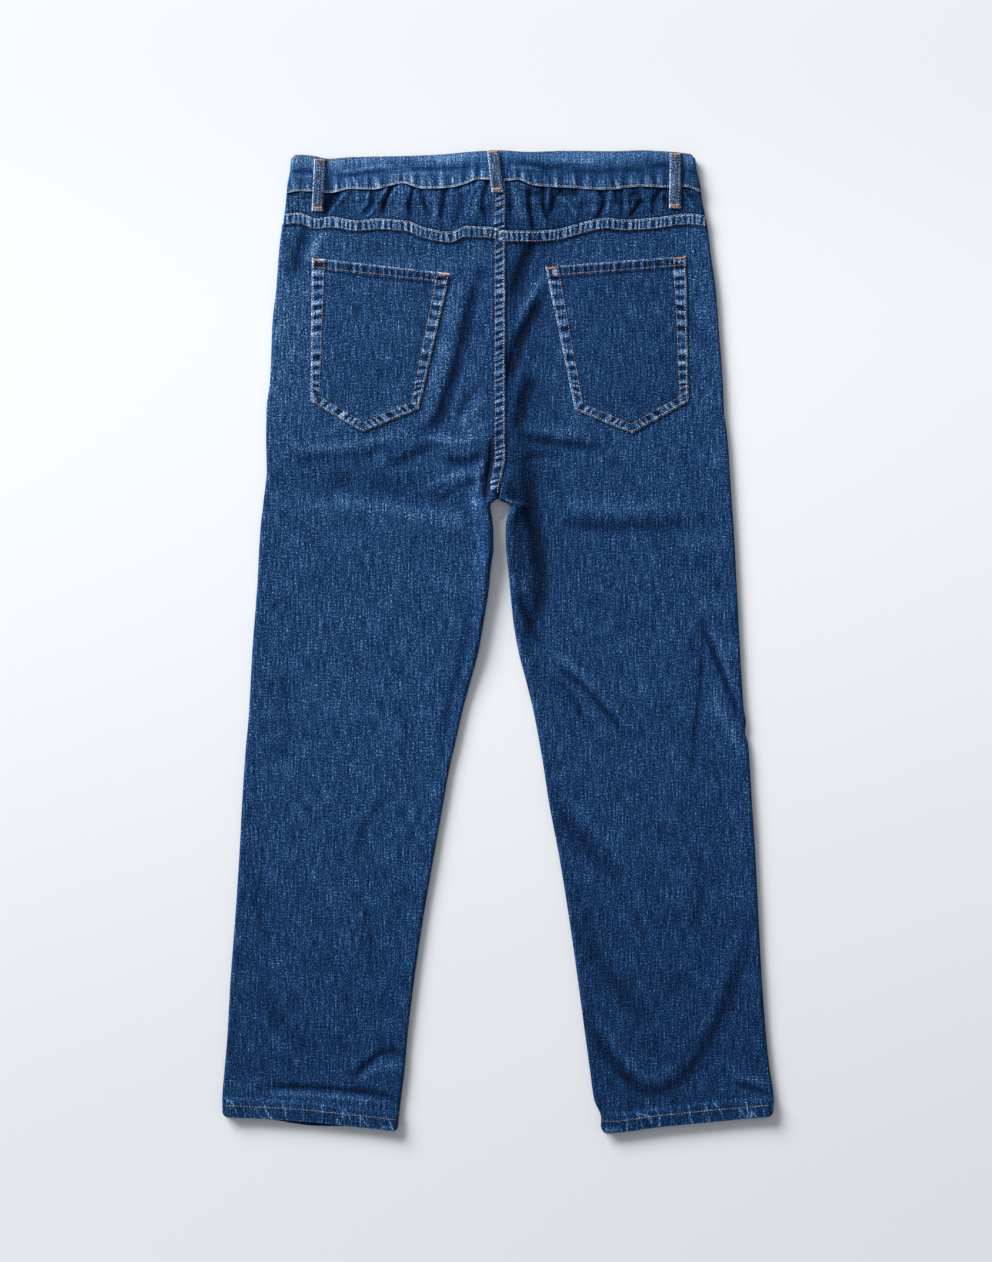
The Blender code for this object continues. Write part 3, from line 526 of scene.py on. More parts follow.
class Columns:
    """Reads a list of columns for arrays of rows."""

    def __init__(self, side, columns, inner_edge):
        self.side, self.inner_edge = side, inner_edge
        kinds = [column[0] for column in columns]
        self.outer = np.array([kind == "outer" for kind in kinds])
        self.inner = np.array([kind == "inner" for kind in kinds])
        self.flat = np.array([column[1] for column in columns], float)
        self.rolled = np.array([column[2] for column in columns], float)
        self.angle = np.radians([column[3] for column in columns])
        self.rolls = np.array([column[3] < 90 for column in columns])
        self.outer_last = self.flat[self.outer][-1]
        self.inner_first = (self.flat[self.inner][0], self.rolled[self.inner][0])

    def grid(self, rows):
        """A row's number repeated for each column."""
        return np.repeat(rows[:, None], len(self.flat), 1)

    def x(self, drop):
        turn = inner_turn(drop)
        outer = side_x(self.side, drop)
        inner = self.inner_edge(self.side, drop)
        inset = mix(*self.inner_first, turn)
        span = mix(outer - self.side * self.outer_last, inner + self.side * inset, self.flat)
        x = np.where(self.outer, outer - self.side * self.flat, span)
        return np.where(self.inner, inner + self.side * mix(self.flat, self.rolled, turn), x)

    def read_x(self, drop):
        """Where heights and crosswise seams are read: a roll reads them at its end."""
        x = self.x(drop)
        inner = self.inner_edge(self.side, drop)
        rolled_in = mix(x, inner + self.side * ROLL, inner_turn(drop))
        x = np.where(self.outer & self.rolls, side_x(self.side, drop) - self.side * ROLL, x)
        return np.where(self.inner & self.rolls, rolled_in, x)

    def read_at(self, x, drop):
        return np.where(self.rolls, self.read_x(drop), x)

    def down_to(self, hem, base, x, drop):
        """Draws the lowest rows out to the hem's line and rounds its corners."""
        drop = drop + (hem - HEM) * ease((base - 880) / 115)
        x = np.where(base > 800, self.x(drop), x)
        return x, drop - self.corner() * ease((base - 1006) / 19)

    def corner(self):
        """How far a corner of the piece is rounded off at each column, in millimetres."""
        inset = np.where(self.outer | self.inner, self.flat, 99.0)
        return 3.4 * bell(inset, 2.6)

    def roll(self, x, drop, face, level):
        """Turns the points of the rolls down from the face to the seam's level."""
        turn = np.where(self.outer, 1.0, inner_turn(drop))
        seam = np.where(self.outer, side_x(self.side, drop), self.inner_edge(self.side, drop))
        towards = np.where(self.outer, -self.side, self.side)
        rolled_x = seam + towards * ROLL * (1 - np.cos(self.angle))
        rolled_z = level + (face - level) * np.sin(self.angle)
        x = np.where(self.rolls, mix(x, rolled_x, turn), x)
        return x, np.where(self.rolls, mix(face, rolled_z, turn), face)


def add_object(name, shape, *materials):
    """Makes an object of the scene from a bmesh."""
    mesh = bpy.data.meshes.new(name)
    shape.to_mesh(mesh)
    shape.free()
    for material in materials:
        mesh.materials.append(material)
    thing = bpy.data.objects.new(name, mesh)
    bpy.context.scene.collection.objects.link(thing)
    return thing


def cloth(name, x, drop, z, wall, marks, materials):
    """Moves a grid's points to (x, drop, z) and gives it a wall under them (over if negative)."""
    rows, columns = x.shape
    shape = bmesh.new()
    bmesh.ops.create_grid(shape, x_segments=columns - 1, y_segments=rows - 1, size=1.0)
    order = sorted(shape.verts, key=lambda v: (-round(v.co.y, 6), round(v.co.x, 6)))
    for place, vert in enumerate(order):
        vert.index = place
    shape.verts.sort()
    thing = add_object(name, shape, *materials)
    mesh = thing.data
    points = np.stack([x * MM, (MID_DROP - drop) * MM, z * MM], -1).reshape(-1, 3)
    mesh.vertices.foreach_set("co", points.astype(np.float32).ravel())
    mesh.update()
    up = sum(p.normal.z * p.area for p in mesh.polygons)
    if up * wall < 0:
        mesh.flip_normals()
    corners = np.empty(len(mesh.loops), np.int32)
    mesh.loops.foreach_get("vertex_index", corners)
    uv = mesh.uv_layers.new(name="grain")
    uv.data.foreach_set("uv", points[corners, :2].astype(np.float32).ravel())
    for mark, values in marks.items():
        layer = mesh.attributes.new(mark, "FLOAT", "POINT")
        layer.data.foreach_set("value", np.broadcast_to(values, x.shape).astype(np.float32).ravel())
    mesh.shade_smooth()
    thickness = thing.modifiers.new("wall", "SOLIDIFY")
    thickness.thickness = abs(wall) * MM
    thickness.offset = -1.0
    thickness.material_offset = len(materials) - 1
    area = sum(p.area for p in mesh.polygons)
    print(f"{name}: {len(mesh.polygons)} cells, {area:.4f} square metres")
    return thing


# %% [markdown]
# ## Denim
#
# Denim's blue yarns run lengthwise, over white ones. Washing bares the white where the cloth
# stands proud: on slubs, seam edges, puckers and ridges. So one number, how worn the cloth is,
# drives the colour through a ramp from dark indigo to pale blue, and every effect adds to it.
# Painted shade adds to the same number: dark crease troughs, a dark slit by the crotch and dark
# lines beside raised seams. Painted light makes the left side paler.
# A small class lets Python's own signs build the shader's maths.

# %% A socket that does maths


class Value:
    """Wraps a node's output, so that +, -, * and / add Math nodes."""

    def __init__(self, finish, socket):
        self.finish, self.socket = finish, socket

    def math(self, operation, *inputs):
        feeds = dict(enumerate(inputs))
        return self.finish.node("ShaderNodeMath", {"operation": operation}, feeds)

    def __add__(self, other):
        return self.math("ADD", self, other)

    def __sub__(self, other):
        return self.math("SUBTRACT", self, other)

    def __rsub__(self, other):
        return self.math("SUBTRACT", other, self)

    def __mul__(self, other):
        return self.math("MULTIPLY", self, other)

    def __truediv__(self, other):
        return self.math("DIVIDE", self, other)

    __radd__ = __add__
    __rmul__ = __mul__

    def step(self, start, end):
        """0 up to start and 1 from end on, or the other way round, with a soft slope."""
        settings = {"interpolation_type": "SMOOTHSTEP"}
        feeds = {"Value": self, "From Min": start, "From Max": end}
        return self.finish.node("ShaderNodeMapRange", settings, feeds)

    def bell(self, centre, half):
        """1 at the centre, fading over a few half widths."""
        away = (self - centre) / half
        return self.math("POWER", math.exp(-1), away * away)


class Finish:
    """A material that is put together node by node."""

    def __init__(self, name, roughness=0.9, specular=0.08, metallic=0.0):
        self.material = bpy.data.materials.new(name)
        self.material.use_nodes = True
        self.tree = self.material.node_tree
        self.shader = self.tree.nodes["Principled BSDF"]
        self.shader.inputs["Roughness"].default_value = roughness
        self.shader.inputs["Specular IOR Level"].default_value = specular
        self.shader.inputs["Metallic"].default_value = metallic

    def feed(self, socket, value):
        if isinstance(value, Value):
            self.tree.links.new(value.socket, socket)
        else:
            socket.default_value = value

    def node(self, kind, settings=None, feeds=None, output=0):
        """Adds a node: its settings first, then the values or links of its sockets."""
        node = self.tree.nodes.new(kind)
        for key, value in (settings or {}).items():
            if key == "stops":
                ramp = node.color_ramp
                while len(ramp.elements) < len(value):
                    ramp.elements.new(0.5)
                for element, (place, colour) in zip(ramp.elements, value):
                    element.position = place
                    element.color = (*colour, 1.0)
            else:
                setattr(node, key, value)
        for key, value in (feeds or {}).items():
            self.feed(node.inputs[key], value)
        return Value(self, node.outputs[output])

    def mark(self, name):
        """A number that the piece's points carry."""
        return self.node("ShaderNodeAttribute", {"attribute_name": name}, output="Fac")

    def noise(self, grain, across, along, offset=0.0, detail=2.0):
        """Noise with blotches of those sizes in millimetres across and along the cloth."""
        scale = (1 / (across * MM), 1 / (along * MM), 1.0)
        feeds = {"Vector": grain, "Scale": scale, "Location": (offset, offset, 0.0)}
        placed = self.node("ShaderNodeMapping", {}, feeds)
        settings = {"noise_dimensions": "2D"}
        return self.node("ShaderNodeTexNoise", settings,
                         {"Vector": placed, "Scale": 1.0, "Detail": detail, "Roughness": 0.55})


def linear(red, green, blue):
    """A colour read off a picture (0 to 255) as light."""
    return tuple(((c / 255 + 0.055) / 1.055) ** 2.4 if c > 10 else c / 255 / 12.92
                 for c in (red, green, blue))


INDIGO = (
    (0.00, linear(2, 12, 32)),
    (0.20, linear(6, 31, 65)),
    (0.40, linear(18, 53, 95)),
    (0.55, linear(36, 76, 121)),
    (0.75, linear(88, 126, 170)),
    (1.00, linear(184, 206, 230)),
)

GREYED = (
    (0.00, linear(10, 18, 34)),
    (0.25, linear(22, 42, 70)),
    (0.45, linear(48, 80, 120)),
    (0.65, linear(92, 124, 162)),
    (1.00, linear(178, 200, 226)),
)

# %% The denim's shader


def yarns(finish, grain):
    """Long warp lines, specks where the white weft shows, and faint weft lines."""
    warp = finish.noise(grain, 1.7, 22.0, 3.7, 2.0)
    specks = finish.noise(grain, 1.5, 1.5, 5.1, 1.0)
    weft = finish.noise(grain, 11.0, 1.5, 8.9, 1.0)
    return (warp - 0.5) * 0.64 + (specks - 0.5) * 1.12 + (weft - 0.5) * 0.28


def slow_noise(finish, along, seam, pitch):
    """Noise that runs along a stitched strip, nearly the same right across it."""
    place = finish.node("ShaderNodeCombineXYZ", {}, {"X": along / pitch, "Y": seam / (3 * pitch)})
    feeds = {"Vector": place, "Scale": 1.0, "Detail": 1.0, "Roughness": 0.4}
    return finish.node("ShaderNodeTexNoise", {"noise_dimensions": "2D"}, feeds)


def ribs(finish, along, seam, pitch):
    """Puckers at a pitch that wavers: 1 on a rib and 0 in the dip beside it."""
    phase = (along / pitch) * (2 * math.pi) + slow_noise(finish, along, seam, 2.2 * pitch) * 9.0
    return phase.math("SINE", phase) * 0.5 + 0.5


def denim(name, tone, strips=(), edges=(), lines=(), streaks=(), creased=0.19, coarse=1.0,
          stops=None):
    """Blue denim with the wear of its seams, and with painted shade in creases and beside raised
    seams.

    Each row starts with the mark it reads, a distance from a seam in millimetres.
    strips: puckers between two distances. edges: worn lines at one distance, or dark lines,
    mostly painted shade, where the strength is below zero.
    lines: thin pale creases across a strip. streaks: pale streaks of gathered cloth.
    """
    finish = Finish(name)
    grain = finish.node("ShaderNodeUVMap", {"uv_map": "grain"})
    split = finish.node("ShaderNodeSeparateXYZ", {}, {0: grain})
    runs = {"across": split * 1000.0,
            "down": Value(finish, split.socket.node.outputs[1]) * 1000.0}
    diagonal = runs["across"] * 5.3 - runs["down"] * 4.3
    twill = diagonal.math("SINE", diagonal)
    threads = yarns(finish, grain) * coarse
    blotches = finish.noise(grain, 26.0, 42.0, 1.7, 3.0)
    wear_and_shade = threads + (blotches - 0.5) * 0.12 + twill * 0.03 + (0.408 + tone)
    # Painted shade and light: the crease mark darkens crease troughs (painted shade) and pales
    # ridges (wear); the fade mark adds broad wear and painted side light, paler on the left.
    wear_and_shade = wear_and_shade + finish.mark("crease") * creased + finish.mark("fade") * 0.10
    relief = threads * 0.5 + twill * 0.12
    for mark, direction, first, last, pitch, slant, strength in strips:
        seam = finish.mark(mark)
        run = runs[direction] if direction in runs else finish.mark(direction)
        rib = ribs(finish, run + seam * slant, seam, pitch)
        size = slow_noise(finish, run, seam, 1.7 * pitch).step(0.25, 0.6)
        inside = seam.step(first - 0.8, first + 0.6) * seam.step(last + 0.8, last - 0.6)
        pucker = (rib.step(0.05, 0.8) - 0.6) * (size * 0.7 + 0.3) * inside
        wear_and_shade = wear_and_shade + (pucker + inside * 0.16) * strength
        relief = relief + pucker * 1.8
    # Edges with a strength below zero are mostly painted shade: dark lines beside raised seam edges
    # and in stitch grooves.
    for mark, distance, half, strength in edges:
        bell = finish.mark(mark).bell(distance, half)
        wear_and_shade = wear_and_shade + bell * strength
        if strength < 0:
            relief = relief - bell * 0.5
    for mark, direction, first, last, pitch, slant, strength in lines:
        seam = finish.mark(mark)
        wave = slow_noise(finish, runs[direction] + seam * slant, seam, pitch)
        thin = wave.bell(0.5, 0.030) * seam.step(0.0, first) * seam.step(last, last * 0.6)
        wear_and_shade = wear_and_shade + thin * strength
        relief = relief + thin * 1.5
    for mark, first, last, pitch, strength in streaks:
        seam = finish.mark(mark)
        streak = ribs(finish, runs["across"] + seam * 0.1, seam, pitch).step(0.45, 1.0)
        size = slow_noise(finish, runs["across"], seam, 1.4 * pitch).step(0.3, 0.6)
        reach = seam.step(last, last * 0.45) * seam.step(0.0, first)
        wear_and_shade = wear_and_shade + (streak * (size * 0.8 + 0.2) - 0.12) * reach * strength
    colour = finish.node("ShaderNodeValToRGB", {"stops": stops or INDIGO}, {"Fac": wear_and_shade})
    finish.feed(finish.shader.inputs["Base Color"], colour)
    feeds = {"Strength": 0.6, "Distance": 0.0003, "Height": relief}
    finish.feed(finish.shader.inputs["Normal"], finish.node("ShaderNodeBump", {}, feeds))
    finish.shader.inputs["Sheen Weight"].default_value = 0.03
    finish.shader.inputs["Sheen Roughness"].default_value = 0.5
    return finish.material


def reverse_denim():
    """The inside of the cloth, where the white weft shows."""
    finish = Finish("denim_reverse")
    grain = finish.node("ShaderNodeUVMap", {"uv_map": "grain"})
    threads = finish.noise(grain, 1.1, 5.0, 2.2, 2.0) * 0.6 + finish.noise(grain, 6.0, 1.2) * 0.5
    stops = ((0.25, linear(84, 101, 127)), (0.8, linear(178, 189, 204)))
    colour = finish.node("ShaderNodeValToRGB", {"stops": stops}, {"Fac": threads})
    finish.feed(finish.shader.inputs["Base Color"], colour)
    bump = finish.node("ShaderNodeBump", {}, {"Strength": 0.5, "Distance": 0.0004,
                                              "Height": threads})
    finish.feed(finish.shader.inputs["Normal"], bump)
    return finish.material


def thread_finish(name, *colours):
    """Sewing thread: every stitch has its own tone, and rubbed ones are paler."""
    finish = Finish(name, roughness=0.7, specular=0.15)
    stops = [(i / (len(colours) - 1), colour) for i, colour in enumerate(colours)]
    colour = finish.node("ShaderNodeValToRGB", {"stops": stops}, {"Fac": finish.mark("tone")})
    finish.feed(finish.shader.inputs["Base Color"], colour)
    return finish.material


REVERSE = reverse_denim()
THREAD = thread_finish("thread_orange", linear(132, 98, 66), linear(204, 166, 118),
                       linear(236, 222, 202))
BARTACK = thread_finish("thread_bartack", linear(176, 104, 42), linear(232, 156, 74))
YOKE_STRIP = ("yoke_seam", "across", 1.2, 11.0, 5.6, 0.0, 0.55)
SEAT_STRIP = ("seat_seam", "down", 1.2, 11.0, 7.6, 0.35, 0.56)
HEM_LINES = ("hem", "across", 1.0, 24.0, 17.0, 0.3, 0.30)
# Painted shade: dark lines just below the yoke strip (yoke_seam 13.4) and beside the seat strip
# (seat_seam 12.6); the pale lines are worn seam edges.
LEG_DENIM = denim(
    "denim_leg", 0.0, (YOKE_STRIP, SEAT_STRIP),
    (("yoke_seam", 0.2, 0.9, 0.34), ("yoke_seam", 13.4, 1.2, -0.10), ("seat_seam", 0.3, 0.8, 0.34),
     ("seat_seam", 12.6, 1.0, -0.20), ("hem", 0.0, 0.8, 0.24), ("hem", 12.8, 0.8, 0.10)),
    (HEM_LINES,),
)
# Painted shade: dark lines where the yoke goes under the band (band_seam 0) and under the felled
# yoke strip (yoke_rise 0); a higher creased adds painted shade in the gathers' troughs.
YOKE_DENIM = denim(
    "denim_yoke", -0.045, (SEAT_STRIP,),
    (("band_seam", 0.0, 1.5, -0.34), ("yoke_rise", 0.0, 1.3, -0.34), ("seat_seam", 0.3, 0.8, 0.36)),
    creased=0.25,
)
# Painted shade: dark lines in the stitch grooves near the band's foot (band_rise 2.6) and by the
# waist (waist 1.2).
BAND_DENIM = denim(
    "denim_band", 0.075, (),
    (("band_rise", 0.3, 0.9, 0.42), ("band_rise", 2.6, 0.6, -0.12), ("waist", 1.2, 0.7, -0.16)),
    (), (("band_rise", 1.5, 17.0, 11.0, 0.26), ("band_rise", 1.5, 12.0, 7.2, 0.22)),
    coarse=0.7,
)
# Painted shade: dark lines under the turned top hem (pocket_top 12.6) and at the step of the
# turned-in edges (pocket_edge 12.0).
POCKET_DENIM = denim(
    "denim_pocket", 0.0,
    (("pocket_edge", "pocket_run", 0.8, 11.4, 10.5, 0.05, 0.50),
     ("pocket_top", "across", 0.8, 10.6, 7.0, 0.0, 0.40)),
    (("pocket_edge", 0.4, 0.6, 0.40), ("pocket_top", 0.4, 0.6, 0.34),
     ("pocket_top", 6.0, 5.0, -0.16), ("pocket_top", 12.6, 0.9, -0.14),
     ("pocket_edge", 12.0, 0.7, -0.08)),
)
# Painted light: the right edge is darkened as painted shade, and the lit left edge is paled, partly
# wear and partly painted highlight; the pale end is wear.
LOOP_DENIM = denim(
    "denim_loop", 0.02, (),
    (("left_edge", 0.4, 0.8, 0.40), ("right_edge", 1.0, 1.5, -0.10), ("end", 1.0, 2.4, 0.34)),
    coarse=1.1, stops=GREYED,
)
FRONT_DENIM = denim("denim_front", -0.01, (), (("hem", 0.0, 1.0, 0.26),))
# Painted shade: the turned denim is darker than the face denim, standing in for the shade inside the
# leg openings.
TURNED_DENIM_SHADED = denim("denim_turned_shaded", -0.10)

# %% [markdown]
# ## The back legs
#
# The largest pieces. The top edge is the felled yoke seam and, on the left leg, the inner edge
# is the felled seat seam: strips that stand proud of the rest, with two rows of stitches.

# %% Faces of the back legs


def felled(side, x, drop, below_yoke):
    on_yoke_seam = np.where(below_yoke >= -0.01, ease((FELL_WIDTH + STEP - below_yoke) / STEP), 0)
    if side > 0:
        return FELLED * on_yoke_seam
    from_seam = (inner_x(side, drop) - x) / (1 - 0.3 * inner_turn(drop))
    on_seat_seam = ease((FELL_WIDTH + STEP - from_seam) / STEP) * (1 - ease((drop - 361) / 9))
    return FELLED * np.maximum(on_yoke_seam, on_seat_seam)


def unevenness(x, drop, size, seed):
    """A smooth, seeded unevenness of the cloth, from -1 to 1."""
    draw = np.random.default_rng(seed)
    total = np.zeros_like(x)
    for _ in range(9):
        angle, phase = draw.uniform(0, 2 * math.pi, 2)
        wave = size * draw.uniform(0.7, 1.6)
        run = (x * math.cos(angle) + drop * math.sin(angle)) * 2 * math.pi / wave
        total += np.sin(run + phase + 1.3 * np.sin(run * 0.37 + phase * 2))
    return total / 5


def leg_face(side, x, drop):
    """Outer height of a back leg, and how creased it is (-1 in a trough, 1 on a ridge)."""
    below_yoke = drop - line(YOKE_EDGE, x)
    wall = DENIM + TURNED * hem_turn(x, drop) + felled(side, x, drop, below_yoke)
    away = 1 - bell(side_x(side, drop) - x, 7)
    creases = crease_height(x, drop, LEG_CREASES) * (1 - 0.75 * hem_turn(x, drop)) * away
    uneven = 0.22 * unevenness(x, drop, 95, 5) + 0.12 * unevenness(x, drop, 34, 8)
    from_inner = side * (x - inner_x(side, drop))
    stands = ease((drop - 330) / 34) * (1 - 0.4 * ease((drop - 420) / 60))
    stands = stands * (1 - ease((drop - 470) / 130))
    tall = mix(6.2, 8.4 if side < 0 else 5.6, ease((drop - 362) / 14))
    crotch = tall * bell(from_inner - 5.5, 8.0) * stands
    under_strips = 1 - 0.8 * felled(side, x, drop, below_yoke) / FELLED
    return back_floor(side, x, drop) + (creases + uneven) * under_strips + crotch + wall, creases


def leg_fade_and_side_light(side, x, drop):
    """Broad fading: pale on the hips and seat, darker down the legs; plus painted light, paler along
    the lit left side and darker on the right leg.
    """
    hip = 0.45 * bell(drop - 190, 130)
    outer = bell(side_x(side, drop) - x, 22) * bell(drop - 190, 120)
    low = -0.75 * ease((drop - 560) / 420)
    seat = -0.9 * bell(x - 20, 34) * ease((drop - 90) / 40) * (1 - ease((drop - 400) / 90))
    hem = -0.3 * ease((drop - 1000) / 10)
    return hip + (0.8 if side < 0 else 0.3) * outer + low + seat + hem + (-0.3 if side > 0 else 0.0)


SLIT_SHADE_PATH = ((-8, 318), (-10, 334), (-13, 352), (-15, 372))


def painted_slit_shade(side, x, drop):
    """Painted shade along the dark slit left of the seat strip, where the cloth dives under it."""
    if side > 0:
        return 0 * x
    return crease(x, drop, 1.7, SLIT_SHADE_PATH)


def back_leg(side, name):
    columns = Columns(side, LEG_COLUMNS, inner_x)
    base = columns.grid(LEG_ROWS)
    seam_x = columns.read_x(YOKE_SEAM)
    follow = 1 - ease((base - YOKE_SEAM - 14) / 70)
    drop = base + (line(YOKE_EDGE, seam_x) - YOKE_SEAM) * follow
    x = mix(columns.x(YOKE_SEAM), columns.x(drop), ease((base - YOKE_SEAM) / 14))
    x, drop = columns.down_to(line(HEM_EDGE, columns.x(base)), base, x, drop)
    at = columns.read_at(x, drop)
    face, creases = leg_face(side, at, drop)
    x, z = columns.roll(x, drop, face, seam_level(at, drop) + 0.05)
    seat = (inner_x(-1, drop) - x) / (1 - 0.3 * inner_turn(drop)) if side < 0 else 60.0 + 0 * x
    marks = {
        "yoke_seam": drop - line(YOKE_EDGE, seam_x),
        "seat_seam": seat + 60 * ease((drop - 361) / 9),
        "hem": line(HEM_EDGE, at) - drop,
        # Painted shade: the crease mark is darkened along the slit left of the seat strip.
        "crease": np.clip(creases, -1.5, 1.2) - 2.2 * painted_slit_shade(side, x, drop),
        "fade": leg_fade_and_side_light(side, x, drop),
    }
    return cloth(name, x, drop, z, 1.1, marks, (LEG_DENIM, TURNED_DENIM_SHADED))


def yoke_face(side, x, drop):
    wall = DENIM + felled(side, x, drop, -1.0 + 0 * x)
    away = 1 - bell(side_x(side, drop) - x, 9)
    gathers = gather_height(x, drop) * away
    return back_floor(side, x, drop) + gathers + wall, gathers


YOKE_ROWS = np.concatenate([[0, 0.02, 0.05], np.linspace(0.09, 0.91, 20), [0.95, 0.98, 1.0]])


def yoke(side, name):
    columns = Columns(side, YOKE_COLUMNS, inner_x)
    t = columns.grid(YOKE_ROWS)
    top_x = columns.read_x(BAND_FOOT)
    foot_x = columns.read_x(YOKE_SEAM)
    drop = mix(line(BAND_SEAM, top_x) + 0.1, line(YOKE_EDGE, foot_x) - 0.1, t)
    x = columns.x(mix(BAND_FOOT, YOKE_SEAM, t))
    at = columns.read_at(x, drop)
    face, gathers = yoke_face(side, at, drop)
    x, z = columns.roll(x, drop, face, seam_level(at, drop) + 0.05)
    marks = {
        "band_seam": drop - line(BAND_SEAM, top_x),
        "yoke_rise": line(YOKE_EDGE, foot_x) - drop,
        "seat_seam": inner_x(-1, drop) - x if side < 0 else 60.0 + 0 * x,
        "crease": np.clip(gathers * 0.9, -1.4, 0.5),
        # Painted light: the left yoke is paler and the right one darker; both are paler near the
        # side edges.
        "fade": 0.4 * bell(side_x(side, drop) - x, 40) + (-0.5 if side > 0 else 0.1),
    }
    return cloth(name, x, drop, z, 1.1, marks, (YOKE_DENIM, REVERSE))


# %% [markdown]
# ## The waistband
#
# A doubled band with elastic in it. The elastic draws its lower half into small ripples, and a
# few soft horizontal creases run above them.

# %% The back band and the front band
BAND_CREASES = drawn("""
    3.0 -0.7  -214 27  -204 25  -192 27
    2.0 0.5  -214 31  -200 30  -190 30
    2.4 -0.6  -172 29  -160 30  -140 27  -112 25
    2.2 0.6  -170 25  -150 25  -128 21  -100 20
    2.6 -0.6  -96 24  -70 23  -40 22  -20 22
    2.2 0.5  -112 29  -80 27  -50 27
    2.4 -0.6  14 17  34 18  52 22  72 20
    2.2 0.6  10 21  30 22  44 25
    2.6 -0.6  70 24  100 26  130 24  160 25
    2.2 0.5  56 13  80 15  110 17
    3.0 -0.7  160 20  172 19  182 20
    2.4 -0.5  194 23  204 26  212 28
""")
BAND_ROWS = np.concatenate(
    [[0, 0.012, 0.03, 0.055], np.linspace(0.09, 0.93, 26), [0.96, 0.985, 1.0]]
)


def ripple(x, share):
    """Uneven ripples of the gathered band, from its middle to its lower edge."""
    wave = np.cos(2 * np.pi * x / 15.5 + 1.4 * np.sin(x / 27))
    fine = np.cos(2 * np.pi * x / 8.6 + 1.1 * np.sin(x / 19 + 1))
    return (0.42 * wave + 0.16 * fine) * share


def band_face(side, x, drop, share=None):
    share = ease((drop - 17.4) / 22.8) if share is None else share
    folds = crease_height(x, drop, BAND_CREASES) + ripple(x, share)
    return back_floor(side, x, drop) + BAND_BACK + folds, folds


def back_band(name):
    parts = []
    for side in (-1, 1):
        columns = Columns(side, YOKE_COLUMNS, inner_x)
        t = columns.grid(BAND_ROWS)
        x = columns.x(mix(WAIST_CORNER, BAND_FOOT, t))
        foot_x = columns.read_x(BAND_FOOT)
        drop = mix(line(WAIST_EDGE, x), line(BAND_SEAM, foot_x) - 0.1, t)
        outer_corner = np.where(columns.outer, columns.corner(), 0.0)
        drop = drop + outer_corner * (1 - ease(t / 0.5))
        at = columns.read_at(x, drop)
        face, creases = band_face(side, at, drop, ease((t - 0.3) / 0.6))
        rounding = 1.1 * (1 - np.sqrt(1 - np.clip(1 - (t * 38) / 1.6, 0, 1) ** 2))
        x, z = columns.roll(x, drop, face - rounding, seam_level(at, drop) + 0.05)
        rise = line(BAND_SEAM, foot_x) - drop
        parts.append([x, drop, z, rise, drop - line(WAIST_EDGE, x), creases])
    left, right = parts
    x, drop, z, rise, waist, creases = (
        np.concatenate([a[:, :-1], b[:, ::-1]], 1) for a, b in zip(left, right)
    )
    # Painted light: the fade mark makes the band's left half paler and its right half darker; its
    # upper half is paler too.
    marks = {"band_rise": rise, "waist": waist, "crease": np.clip(creases * 1.1, -1.2, 1.0),
             "fade": np.where(x < 0, 0.3, -0.5) + 1.4 * ease((rise - 20) / 12)}
    return cloth(name, x, drop, z, 2.4, marks, (BAND_DENIM, REVERSE))


def front_leg(side, name):
    columns = Columns(side, FRONT_COLUMNS, front_inner_x)
    base = columns.grid(FRONT_ROWS)
    top_x = columns.read_x(BAND_FOOT)
    drop = base + (front_seam_drop(top_x) + 0.1 - FRONT_ROWS[0]) * (1 - ease((base - 58) / 56))
    x = mix(columns.x(BAND_FOOT), columns.x(drop), ease((base - 58) / 14))
    hem = line(HEM_EDGE, columns.x(base)) + line(FRONT_HEM_PEEK, columns.x(base))
    x, drop = columns.down_to(hem, base, x, drop)
    at = columns.read_at(x, drop)
    folds = 0.5 * np.clip(unevenness(at, drop, 120, 21), 0, 1) * (1 - hem_turn(at, drop))
    folds = folds * ease((drop - 120) / 60) * (1 - bell(side_x(side, drop) - at, 20))
    face = front_lift(at, drop) + folds
    x, z = columns.roll(x, drop, face, seam_level(at, drop) - 0.05)
    marks = {"hem": hem - drop, "crease": -folds, "fade": leg_fade_and_side_light(side, x, drop) * 0.6}
    return cloth(name, x, drop, z, -1.1, marks, (FRONT_DENIM, TURNED_DENIM_SHADED))


def front_band(side, name):
    """Half of the front band: the left half laps outside the right one."""
    columns = Columns(side, FRONT_COLUMNS, front_inner_x)
    t = np.linspace(0, 1, 15)[:, None]
    across = columns.x(mix(WAIST_CORNER, BAND_FOOT, t))
    keep = abs(across[-1]) > 46
    lap = np.linspace(44 * side, -LAP_HALF * side, 28)
    x = np.hstack([across[:, keep], np.repeat(lap[None], len(t), 0)])
    angles = np.concatenate([columns.angle[keep], np.full(len(lap), math.pi / 2)])
    drop = mix(front_top_drop(x), front_seam_drop(x) - 0.1, t)
    face = front_lift(x, drop)
    if side > 0:
        face = face + (BAND_FRONT + 0.3) * ease((LAP_HALF + LAP_FADE - x) / (LAP_FADE - 4))
    drop = drop + 3.4 * bell(side_x(side, drop) - x, 2.6) * (1 - ease(t / 0.5))
    level = seam_level(x, drop) - 0.05
    seam = side_x(side, drop)
    rolled = angles < math.pi / 2 - 0.001
    x = np.where(rolled, seam - side * ROLL * (1 - np.cos(angles)), x)
    z = np.where(rolled, level + (face - level) * np.sin(angles), face)
    marks = {"band_rise": front_seam_drop(x) - drop, "waist": drop - front_top_drop(x),
             "crease": 0 * x, "fade": 0 * x - 0.2}
    return cloth(name, x, drop, z, -2.2, marks, (BAND_DENIM, REVERSE))


# %% [markdown]
# ## Pockets and belt loops
#
# A patch pocket lies on its panel, so its points are the panel's own, moved out. Its edges
# are turned in, and its top is a turned hem. The belt loops are folded straps.

# %% Pockets


